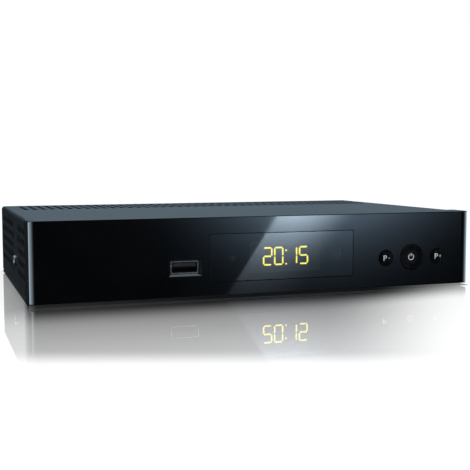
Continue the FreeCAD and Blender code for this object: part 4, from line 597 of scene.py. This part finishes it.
# flat shape in X and Z becomes a skin of ink that follows the face behind it
def layOn(shape, target, centre, toward, values=ink):
    surface = bmesh.new()
    surface.from_mesh(nodes[target].data)
    tree = BVHTree.FromBMesh(surface)
    front = bmesh.ops.extrude_face_region(shape, geom=shape.faces[:])
    raised = {v for v in front["geom"] if isinstance(v, bmesh.types.BMVert)}
    for vertex in shape.verts:
        start = Vector((centre[0] + vertex.co.x, centre[1], centre[2] + vertex.co.z))
        hit = tree.ray_cast(start - toward * values["castFrom"], toward)[0]
        vertex.co = hit - toward * (values["lift"] + (values["thick"] if vertex in raised else 0.0))
        vertex.co.y = min(max(vertex.co.y, cadBox[0].y), cadBox[1].y)
    surface.free()
    bmesh.ops.recalc_face_normals(shape, faces=shape.faces[:])


capital = 0.72  # height of a capital letter in the font's own size


def letters(text, height, weight):
    curve = bpy.data.curves.new("letters", "FONT")
    curve.body = text
    curve.size = height / capital
    curve.offset = weight
    curve.align_x = "CENTER"
    curve.align_y = "CENTER"
    curve.resolution_u = 5
    maker = bpy.data.objects.new("letters", curve)
    shape = bmesh.new()
    shape.from_mesh(bpy.data.meshes.new_from_object(maker))
    bpy.data.objects.remove(maker)
    bmesh.ops.remove_doubles(shape, verts=shape.verts[:], dist=0.000002)
    return shape


# the middle of a flat shape moves to a place on its own plane
def centreAt(shape, x, y=0.0):
    across = [vertex.co.x for vertex in shape.verts]
    along = [vertex.co.y for vertex in shape.verts]
    shift = (x - (min(across) + max(across)) / 2, y - (min(along) + max(along)) / 2, 0.0)
    bmesh.ops.translate(shape, verts=shape.verts[:], vec=shift)


def standUp(shape):
    upright = Matrix.Rotation(math.radians(90), 3, "X")
    bmesh.ops.rotate(shape, verts=shape.verts[:], cent=(0, 0, 0), matrix=upright)
    bmesh.ops.triangulate(shape, faces=shape.faces[:])
    bmesh.ops.subdivide_edges(shape, edges=shape.edges[:], cuts=1, use_grid_fill=True)


# ring with a gap at the top and a stroke standing in the gap
powerSign = {"radius": 1.45, "line": 0.28, "gap": 64.0, "steps": 28, "strokeLow": 0.35, "strokeHigh": 1.95}


def makePowerSign(values=powerSign):
    shape = bmesh.new()
    inner = (values["radius"] - values["line"] / 2) * mm
    outer = (values["radius"] + values["line"] / 2) * mm
    start = math.radians(90 + values["gap"] / 2)
    low = shape.verts.new((inner * math.cos(start), 0.0, inner * math.sin(start)))
    high = shape.verts.new((outer * math.cos(start), 0.0, outer * math.sin(start)))
    edge = shape.edges.new((low, high))
    bmesh.ops.spin(shape, geom=[low, high, edge], cent=(0, 0, 0), axis=(0, -1, 0), dvec=(0, 0, 0),
                   angle=math.radians(360 - values["gap"]), steps=values["steps"], use_merge=False)
    half = values["line"] / 2 * mm
    middle = (values["strokeLow"] + values["strokeHigh"]) / 2 * mm
    reach = (values["strokeHigh"] - values["strokeLow"]) / 2 * mm
    place = (Matrix.Translation((0, 0, middle)) @ Matrix.Rotation(math.radians(90), 4, "X")
             @ Matrix.Diagonal((half, reach, 1.0, 1.0)))
    bmesh.ops.create_grid(shape, x_segments=1, y_segments=5, size=1.0, matrix=place)
    return shape


# each mark rides on the button or the rocker that it is printed on
def printOn(shape, name, target, place, toward):
    layOn(shape, target, place, toward)
    newPiece(name, meshOf(name, shape), "legendInk", target)


# middle of a button's front
def frontOf(name):
    low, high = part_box(name)
    centre = (low + high) / 2
    return centre.x, low.y, centre.z


legends = {"height": 2.9, "signHeight": 2.3, "letterAt": -0.75, "signAt": 1.45, "weight": -0.045}


def makeLegends(values=legends):
    inward = Vector((0, 1, 0))
    for name, sign in (("channel_down", "-"), ("channel_up", "+")):
        shape = letters("P", values["height"] * mm, values["weight"] * mm)
        centreAt(shape, values["letterAt"] * mm)
        mark = letters(sign, values["signHeight"] * mm, values["weight"] * mm)
        centreAt(mark, values["signAt"] * mm)
        shape.from_mesh(meshOf("sign", mark))
        standUp(shape)
        printOn(shape, name + "_legend", name + "_button", frontOf(name + "_button"), inward)
    printOn(makePowerSign(), "power_sign", "power_button", frontOf("power_button"), inward)


makeLegends()
print("legends on the buttons")


# on and off marks of the rocker, in the same ink
onMark = {"half": 0.22, "reach": 1.2}
offMark = {"radius": 1.0, "line": 0.32, "gap": 0.5, "steps": 32, "strokeLow": 0.9, "strokeHigh": 1.0}


def makeRockerMarks():
    low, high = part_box("power_rocker")
    centre = (low + high) / 2
    forward = Vector((0, -1, 0))
    quarter = (high.z - low.z) / 4
    line = bmesh.new()
    flat = Matrix.Diagonal((onMark["half"] * mm, onMark["reach"] * mm, 1, 1))
    bmesh.ops.create_grid(line, x_segments=1, y_segments=4, size=1.0,
                          matrix=Matrix.Rotation(math.radians(90), 4, "X") @ flat)
    printOn(line, "rocker_on_mark", "power_rocker", (centre.x, high.y, centre.z + quarter), forward)
    ring = makePowerSign(offMark)
    printOn(ring, "rocker_off_mark", "power_rocker", (centre.x, high.y, centre.z - quarter), forward)


makeRockerMarks()
print("marks on the rocker")


# threaded barrels of the two aerial sockets: radii, then steps along one turn and along the nose
barrelThread = {"crest": 4.76, "root": 4.42, "bore": 2.6, "shank": 4.5, "pitch": 0.794, "foot": 0.12,
                "flank": 0.36, "land": 0.44, "relief": 0.1, "lead": 0.5, "lastFoot": 0.15, "bevel": 0.25,
                "bevelDrop": 0.1, "noseDrop": 0.2, "mouth": 0.3}


def makeBarrel(name, steps=64):
    size = {part: length * mm for part, length in barrelThread.items()}
    low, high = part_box(name)
    centre = (low + high) / 2
    end = high.y
    flangeRadius = (high.x - low.x) / 2
    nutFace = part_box("barrel_nuts")[1].y
    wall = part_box("rear_panel")[0].y
    bore, root, crest, shank = size["bore"], size["root"], size["crest"], size["shank"]
    outline = [(bore, low.y), (flangeRadius, low.y), (flangeRadius, wall), (shank, wall), (shank, nutFace)]
    y = nutFace + size["relief"]
    while y + size["pitch"] < end - size["lead"]:
        outline += [(root, y), (root, y + size["foot"]), (crest, y + size["flank"]),
                    (crest, y + size["land"])]
        y += size["pitch"]
    outline += [(root, y), (root, y + size["lastFoot"]), (crest - size["bevelDrop"], end - size["bevel"]),
                (root - size["noseDrop"], end), (bore + size["mouth"], end), (bore, end - size["mouth"])]
    shape = bmesh.new()
    corners = [shape.verts.new((centre.x + radius, place, centre.z)) for radius, place in outline]
    rim = [shape.edges.new(pair) for pair in zip(corners, corners[1:] + corners[:1])]
    bmesh.ops.spin(shape, geom=corners + rim, cent=(centre.x, 0, centre.z), axis=(0, 1, 0), dvec=(0, 0, 0),
                   angle=math.radians(360), steps=steps, use_merge=True)
    bmesh.ops.recalc_face_normals(shape, faces=shape.faces[:])
    piece = newPiece(name + "_threaded", meshOf(name + "_threaded", shape, 25), "nickel")
    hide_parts(name)


for barrelName in ("lnb_in_barrel", "lnb_out_barrel"):
    makeBarrel(barrelName)
print("aerial barrels threaded")


# studio: the camera looks from the left, a little above the case
camera = {"place": (-0.15095, -0.4694, 0.0639), "turn": (85.263, 0.124, -18.972), "lens": 68.45}
eyeX, eyeY, eyeZ = camera["place"]
frontGap = frontY - eyeY


def makeCamera(values=camera):
    data = bpy.data.cameras.new("studioCamera")
    data.sensor_width = 36.0
    data.lens = values["lens"]
    data.clip_start = 0.01
    data.clip_end = 100.0
    holder = bpy.data.objects.new("studioCamera", data)
    holder.location = values["place"]
    holder.rotation_euler = [math.radians(angle) for angle in values["turn"]]
    bpy.context.scene.collection.objects.link(holder)
    bpy.context.scene.camera = holder


# how strongly the floor mirrors, by distance from the case and across the front, how white it is, and where
# painted shade darkens it
polish = {"near": 0.72, "far": 0.50, "nearAt": 0.050, "farAt": 0.122, "fade": (0.268, 0.300),
          "ahead": (0.040, 0.020), "right": (0.0293, 0.1113, 0.15), "contact": (0.0543, 0.1243, 0.60),
          "touchEnd": (-0.0005, 0.002), "left": 0.66, "leftAcross": (0.0005, 0.0025),
          "leftBack": (0.030, 0.010), "full": (-0.090, -0.030, 0.977, 0.991), "corner": 0.92,
          "cornerRun": 0.003, "bandWide": (0.006, 0.054), "bandSlim": (-0.004, 0.040), "around": 0.42,
          "aroundEnd": 0.13, "white": 1.12, "lit": 0.70, "shade": 0.40, "shadeReach": 0.010, "rim": 0.0020,
          "mirrorRim": 0.0012, "rimEdge": 0.0003, "covered": 0.06, "beneath": 0.0001, "size": 12.0}


# distance on the floor from the case's own outline
def distanceFromCase(tree, place):
    besideX = calc(tree, "SUBTRACT", calc(tree, "ABSOLUTE", place["X"]), frontHalf)
    besideX = calc(tree, "MAXIMUM", besideX, 0.0)
    shifted = calc(tree, "ABSOLUTE", calc(tree, "SUBTRACT", place["Y"], (frontY + backY) / 2))
    besideY = calc(tree, "MAXIMUM", calc(tree, "SUBTRACT", shifted, (backY - frontY) / 2), 0.0)
    squared = calc(tree, "ADD", times(tree, besideX, besideX), times(tree, besideY, besideY))
    return calc(tree, "SQRT", squared)


# where the line from the eye to a point of the floor crosses the front's plane
def acrossFront(tree, sideways, nearer):
    ratio = calc(tree, "DIVIDE", sideways, nearer)
    return calc(tree, "ADD", times(tree, ratio, frontGap), eyeX)


# stronger band along the front's foot, slimmer to the right
def footBand(tree, across, away, rightward, values):
    low = values["right"][2]
    slim, wide = values["bandSlim"], values["bandWide"]
    bandStart = remap(tree, rightward, low, 1.0, slim[0], wide[0])
    bandEnd = remap(tree, rightward, low, 1.0, slim[1], wide[1])
    band = smooth(tree, away, bandStart, bandEnd, 1.0, 0.0)
    start, end, low = values["contact"]
    band = times(tree, band, smooth(tree, across, start, end, 1.0, low))
    start, end = values["touchEnd"]
    return times(tree, band, smooth(tree, across, frontHalf + start, frontHalf + end, 1.0, 0.0))


# mirror strength in front of the case, to its left, and around the rest of it
def floorMirror(tree, place, away, values):
    turn = math.radians(camera["turn"][2])
    sideways = calc(tree, "SUBTRACT", place["X"], eyeX)
    nearer = calc(tree, "MAXIMUM", calc(tree, "SUBTRACT", place["Y"], eyeY), 0.01)  # never behind the eye
    across = acrossFront(tree, sideways, nearer)
    start, full = values["ahead"]
    ahead = smooth(tree, place["Y"], frontY + start, frontY + full)
    depth = calc(tree, "ADD", times(tree, sideways, -math.sin(turn)), times(tree, nearer, math.cos(turn)))
    start, end, low = values["right"]
    rightward = smooth(tree, across, start, end, 1.0, low)
    sheen = remap(tree, away, values["nearAt"], values["farAt"], values["near"], values["far"])
    sheen = times(tree, sheen, smooth(tree, depth, *values["fade"]), rightward)
    band = footBand(tree, across, away, rightward, values)
    frontal = calc(tree, "ADD", sheen, times(tree, band, without(tree, sheen)))
    frontal = times(tree, frontal, remap(tree, across, *values["full"]))
    frontal = times(tree, frontal, remap(tree, across, -frontHalf, values["cornerRun"] - frontHalf,
                                         values["corner"], 1.0))
    around = smooth(tree, away, 0.0, values["aroundEnd"], values["around"], 0.0)
    start, full = values["leftAcross"]
    toLeft = smooth(tree, across, -frontHalf - start, -frontHalf - full)
    start, full = values["leftBack"]
    toLeft = times(tree, toLeft, smooth(tree, place["Y"], backY + start, backY + full))
    mirror = between(tree, ahead, around, frontal)
    mirror = between(tree, toLeft, mirror, times(tree, frontal, values["left"]))
    return mirror, times(tree, ahead, calc(tree, "GREATER_THAN", across, -frontHalf))


# painted shadow on a small patch of floor behind the left rear corner, seen only through the gap below the
# case
rearCornerShadowPatch = {"half": 0.0030, "solid": 0.0027, "middle": 0.005, "reach": (0.0075, 0.0050)}


def rearCornerShadow(tree, place, values=rearCornerShadowPatch):
    sightLine = (-lidHalf - eyeX) / (backY - eyeY)
    past = times(tree, calc(tree, "SUBTRACT", place["Y"], backY), sightLine)
    sideways = calc(tree, "SUBTRACT", calc(tree, "ADD", place["X"], lidHalf - values["half"]), past)
    sideways = smooth(tree, calc(tree, "ABSOLUTE", sideways), values["half"], values["solid"])
    behind = calc(tree, "ABSOLUTE", calc(tree, "SUBTRACT", place["Y"], backY + values["middle"]))
    return times(tree, sideways, smooth(tree, behind, *values["reach"]))


def makeFloor(values=polish):
    shape = bmesh.new()
    bmesh.ops.create_grid(shape, x_segments=4, y_segments=4, size=values["size"])
    floor = bpy.data.objects.new("studioFloor", meshOf("studioFloor", shape))
    bpy.context.scene.collection.objects.link(floor)
    material = bpy.data.materials.new("whiteFloor")
    material.use_nodes = True
    tree = material.node_tree
    tree.nodes.clear()
    place = axesOf(tree, objectPlace(tree))
    away = distanceFromCase(tree, place)
    mirror, ahead = floorMirror(tree, place, away, values)
    corner = rearCornerShadow(tree, place)
    # painted soft contact shade along the case's base, and a painted shadow on the floor beneath it
    fading = calc(tree, "EXPONENT", calc(tree, "DIVIDE", away, -values["shadeReach"]))
    level = without(tree, times(tree, fading, without(tree, ahead), values["shade"]))
    # the painted dark rim of contact shadow stops at the case's left side
    rightOfSide = smooth(tree, place["X"], -lidHalf - values["rimEdge"], -lidHalf)
    rim = times(tree, smooth(tree, away, values["rim"], 0.0), rightOfSide)
    covered = remap(tree, ahead, 0.0, 1.0, values["covered"], 1.0)
    paper = grey(tree, between(tree, calc(tree, "MAXIMUM", rim, corner), level, covered))
    diffuse = put(tree, "BsdfDiffuse", {"Color": paper})
    shine = put(tree, "Emission", {"Color": paper, "Strength": values["white"]})
    seen = put(tree, "LightPath").outputs["Is Camera Ray"]
    white = put(tree, "MixShader", {0: times(tree, seen, values["lit"]), 1: diffuse.outputs[0],
                                    2: shine.outputs[0]})
    # the floor's mirror is painted dark at the case's base and on the rear corner patch, as painted shade
    closeBy = times(tree, smooth(tree, away, values["mirrorRim"], 0.0), rightOfSide)
    under = without(tree, calc(tree, "MAXIMUM", closeBy, corner))
    gloss = put(tree, "BsdfGlossy", {"Color": grey(tree, under), "Roughness": 0.0})
    surface = put(tree, "MixShader", {0: times(tree, mirror, seen), 1: white.outputs[0],
                                      2: gloss.outputs[0]})
    # seen from below the floor is clear, and light reaches the underside
    lit = times(tree, without(tree, seen), calc(tree, "LESS_THAN", away, values["beneath"]))
    clear = calc(tree, "MAXIMUM", put(tree, "NewGeometry").outputs["Backfacing"], lit)
    air = put(tree, "BsdfTransparent").outputs[0]
    surface = put(tree, "MixShader", {0: clear, 1: surface.outputs[0], 2: air})
    tree.links.new(surface.outputs[0], put(tree, "OutputMaterial").inputs["Surface"])
    floor.data.materials.append(material)
    floor.visible_glossy = False


# what the gloss front mirrors, in metres across and up the front as the camera sees it
mirrored = {"hillMiddle": 0.0243, "hillLeft": 0.041, "hillRight": 0.053, "hillTop": 2.35,
            "hillFall": 0.0125, "edgeStart": -0.0207, "edgeSlope": 0.675, "edgeBlur": (-0.0003, 0.0005),
            "boxTop": 8.6, "boxFall": 0.0105, "boxSolid": 0.010, "boxEnd": 0.042, "level": 0.036,
            "highest": 0.045, "panelTop": (0.0386, 0.0410), "leftWall": 6.8, "rightWall": 2.6, "base": 0.02,
            "tint": (0.80, 1.01, 1.17), "hillTint": (0.79, 1.12, 1.50), "dusk": (0.280, 0.435, 0.550),
            "duskLeft": 0.12, "overhead": (2.1, 2.3, 2.5), "buttonShine": (1.9, 2.1, 2.3),
            "fill": (0.78, 0.79, 0.80), "white": (1.0, 1.0, 1.0)}

# where each light of the room starts and is full, by the direction in which it is seen
room = {"front": (-0.45, -0.65), "leftAcross": (-0.45, -0.95), "leftBack": (0.5, 0.25),
        "leftRamp": (-0.75, 0.35, 0.30, 1.25), "rightAhead": (-0.60, -0.20), "rightBack": (0.85, 0.7),
        "rightAcross": (0.3, 0.5), "wallTop": (0.28, 0.18), "overheadUp": (0.45, 0.85),
        "overheadAcross": (0.75, 0.10), "duskAcross": (-0.12, 0.06), "lampFoot": (-0.03, 0.02),
        "lampTop": (0.85, 0.60), "lampAhead": (-0.50, -0.65), "lampRight": (0.45, 0.36),
        "lampLeft": (-0.40, -0.25), "patternAhead": -0.3, "firstMirror": 1.5}


# soft hill of light and a slanted soft box, seen in the front
def frontLight(tree, across, height, values):
    right = calc(tree, "DIVIDE", calc(tree, "SUBTRACT", across, values["hillMiddle"]), values["hillRight"])
    left = calc(tree, "DIVIDE", calc(tree, "SUBTRACT", values["hillMiddle"], across), values["hillLeft"])
    side = calc(tree, "MAXIMUM", right, left)
    hill = calc(tree, "EXPONENT", times(tree, side, side, -1.0))
    top = calc(tree, "SUBTRACT", height, values["level"])
    hillFade = calc(tree, "EXPONENT", calc(tree, "DIVIDE", top, values["hillFall"]))
    hill = times(tree, hill, hillFade, values["hillTop"])
    edge = calc(tree, "ADD", times(tree, height, values["edgeSlope"]), values["edgeStart"])
    inside = calc(tree, "SUBTRACT", across, edge)
    box = times(tree, smooth(tree, inside, *values["edgeBlur"]),
                smooth(tree, inside, values["boxSolid"], values["boxEnd"], 1.0, 0.0))
    boxFade = calc(tree, "EXPONENT", calc(tree, "DIVIDE", top, values["boxFall"]))
    box = times(tree, box, boxFade, values["boxTop"])
    return put(tree, "VectorMath", {0: scaled(tree, values["hillTint"], hill),
                                    1: scaled(tree, values["tint"], box)}, operation="ADD").outputs[0]


# bright walls to the left and right light the front's rounded ends
def sideWalls(tree, way, values):
    leftWall = times(tree, smooth(tree, way["X"], *room["leftAcross"]),
                     smooth(tree, way["Y"], *room["leftBack"]),
                     remap(tree, way["Y"], *room["leftRamp"]), values["leftWall"])
    rightWall = times(tree, smooth(tree, way["X"], *room["rightAcross"]),
                      smooth(tree, way["Y"], *room["rightAhead"]),
                      smooth(tree, way["Y"], *room["rightBack"]), values["rightWall"])
    slope = calc(tree, "ABSOLUTE", way["Z"])
    return times(tree, calc(tree, "ADD", leftWall, rightWall), smooth(tree, slope, *room["wallTop"]))


def makeWorld(values=mirrored):
    world = bpy.data.worlds.new("studioWorld")
    bpy.context.scene.world = world
    world.use_nodes = True
    tree = world.node_tree
    tree.nodes.clear()
    way = axesOf(tree, put(tree, "TexCoord").outputs["Generated"])
    path = put(tree, "LightPath").outputs
    ahead = calc(tree, "MAXIMUM", times(tree, way["Y"], -1.0), 0.02)  # never sideways or behind
    across = calc(tree, "ADD", times(tree, calc(tree, "DIVIDE", way["X"], ahead), frontGap), eyeX)
    rise = times(tree, calc(tree, "DIVIDE", way["Z"], ahead), frontGap)
    below = calc(tree, "LESS_THAN", way["Z"], 0.0)
    seenAt = calc(tree, "ADD", rise, remap(tree, below, 0.0, 1.0, -eyeZ, eyeZ))
    height = calc(tree, "MINIMUM", calc(tree, "MAXIMUM", seenAt, 0.0), values["highest"])
    start, end = values["panelTop"]
    shown = times(tree, smooth(tree, way["Y"], *room["front"]), smooth(tree, seenAt, start, end, 1.0, 0.0))
    front = scaled(tree, frontLight(tree, across, height, values), shown)
    low = calc(tree, "ADD", sideWalls(tree, way, values), values["base"])
    tinted = put(tree, "VectorMath", {0: scaled(tree, values["tint"], low), 1: front}, operation="ADD")
    # above the horizon a dim ceiling, dimmer to the left, with one light overhead
    first = calc(tree, "LESS_THAN", path["Ray Depth"], room["firstMirror"])
    second = times(tree, without(tree, first), without(tree, path["Is Singular Ray"]))
    patterned = times(tree, second, calc(tree, "LESS_THAN", way["Y"], room["patternAhead"]))
    patterned = calc(tree, "MAXIMUM", below, patterned)
    overhead = times(tree, smooth(tree, way["Z"], *room["overheadUp"]),
                     smooth(tree, way["X"], *room["overheadAcross"]))
    dusk = scaled(tree, values["dusk"], remap(tree, way["X"], *room["duskAcross"], values["duskLeft"], 1.0))
    ceiling = blendColour(tree, overhead, dusk, values["overhead"])
    # small soft lamp ahead and above, which only the buttons' upper left slopes show
    lamp = times(tree, smooth(tree, way["Z"], *room["lampFoot"]), smooth(tree, way["Z"], *room["lampTop"]),
                 smooth(tree, way["Y"], *room["lampAhead"]), smooth(tree, way["X"], *room["lampRight"]),
                 smooth(tree, way["X"], *room["lampLeft"]), first)
    ceiling = blendColour(tree, path["Is Singular Ray"], ceiling, values["white"])
    glossy = blendColour(tree, patterned, ceiling, tinted.outputs[0])
    glossy = blendColour(tree, lamp, glossy, values["buttonShine"])
    colour = blendColour(tree, path["Is Glossy Ray"], values["fill"], glossy)
    direct = calc(tree, "MAXIMUM", path["Is Camera Ray"], path["Is Transmission Ray"])
    colour = blendColour(tree, direct, colour, values["white"])
    background = put(tree, "Background", {"Color": colour, "Strength": 1.0})
    tree.links.new(background.outputs[0], put(tree, "OutputWorld").inputs["Surface"])


lamps = {"overheadLamp": {"place": (-0.35, -0.25, 0.9), "size": 0.7, "power": 3.0},
         "buttonLamp": {"place": (-0.45, -0.75, 0.75), "size": 0.22, "power": 1.2}}


def makeLamps():
    for name, values in lamps.items():
        data = bpy.data.lights.new(name, "AREA")
        data.size = values["size"]
        data.energy = values["power"]
        lamp = bpy.data.objects.new(name, data)
        lamp.location = values["place"]
        lamp.rotation_euler = (-Vector(values["place"])).to_track_quat("-Z", "Y").to_euler()
        lamp.visible_glossy = False
        bpy.context.scene.collection.objects.link(lamp)


makeCamera()
makeFloor()
makeWorld()
makeLamps()
bpy.context.scene.view_settings.view_transform = "Standard"
print("studio ready")
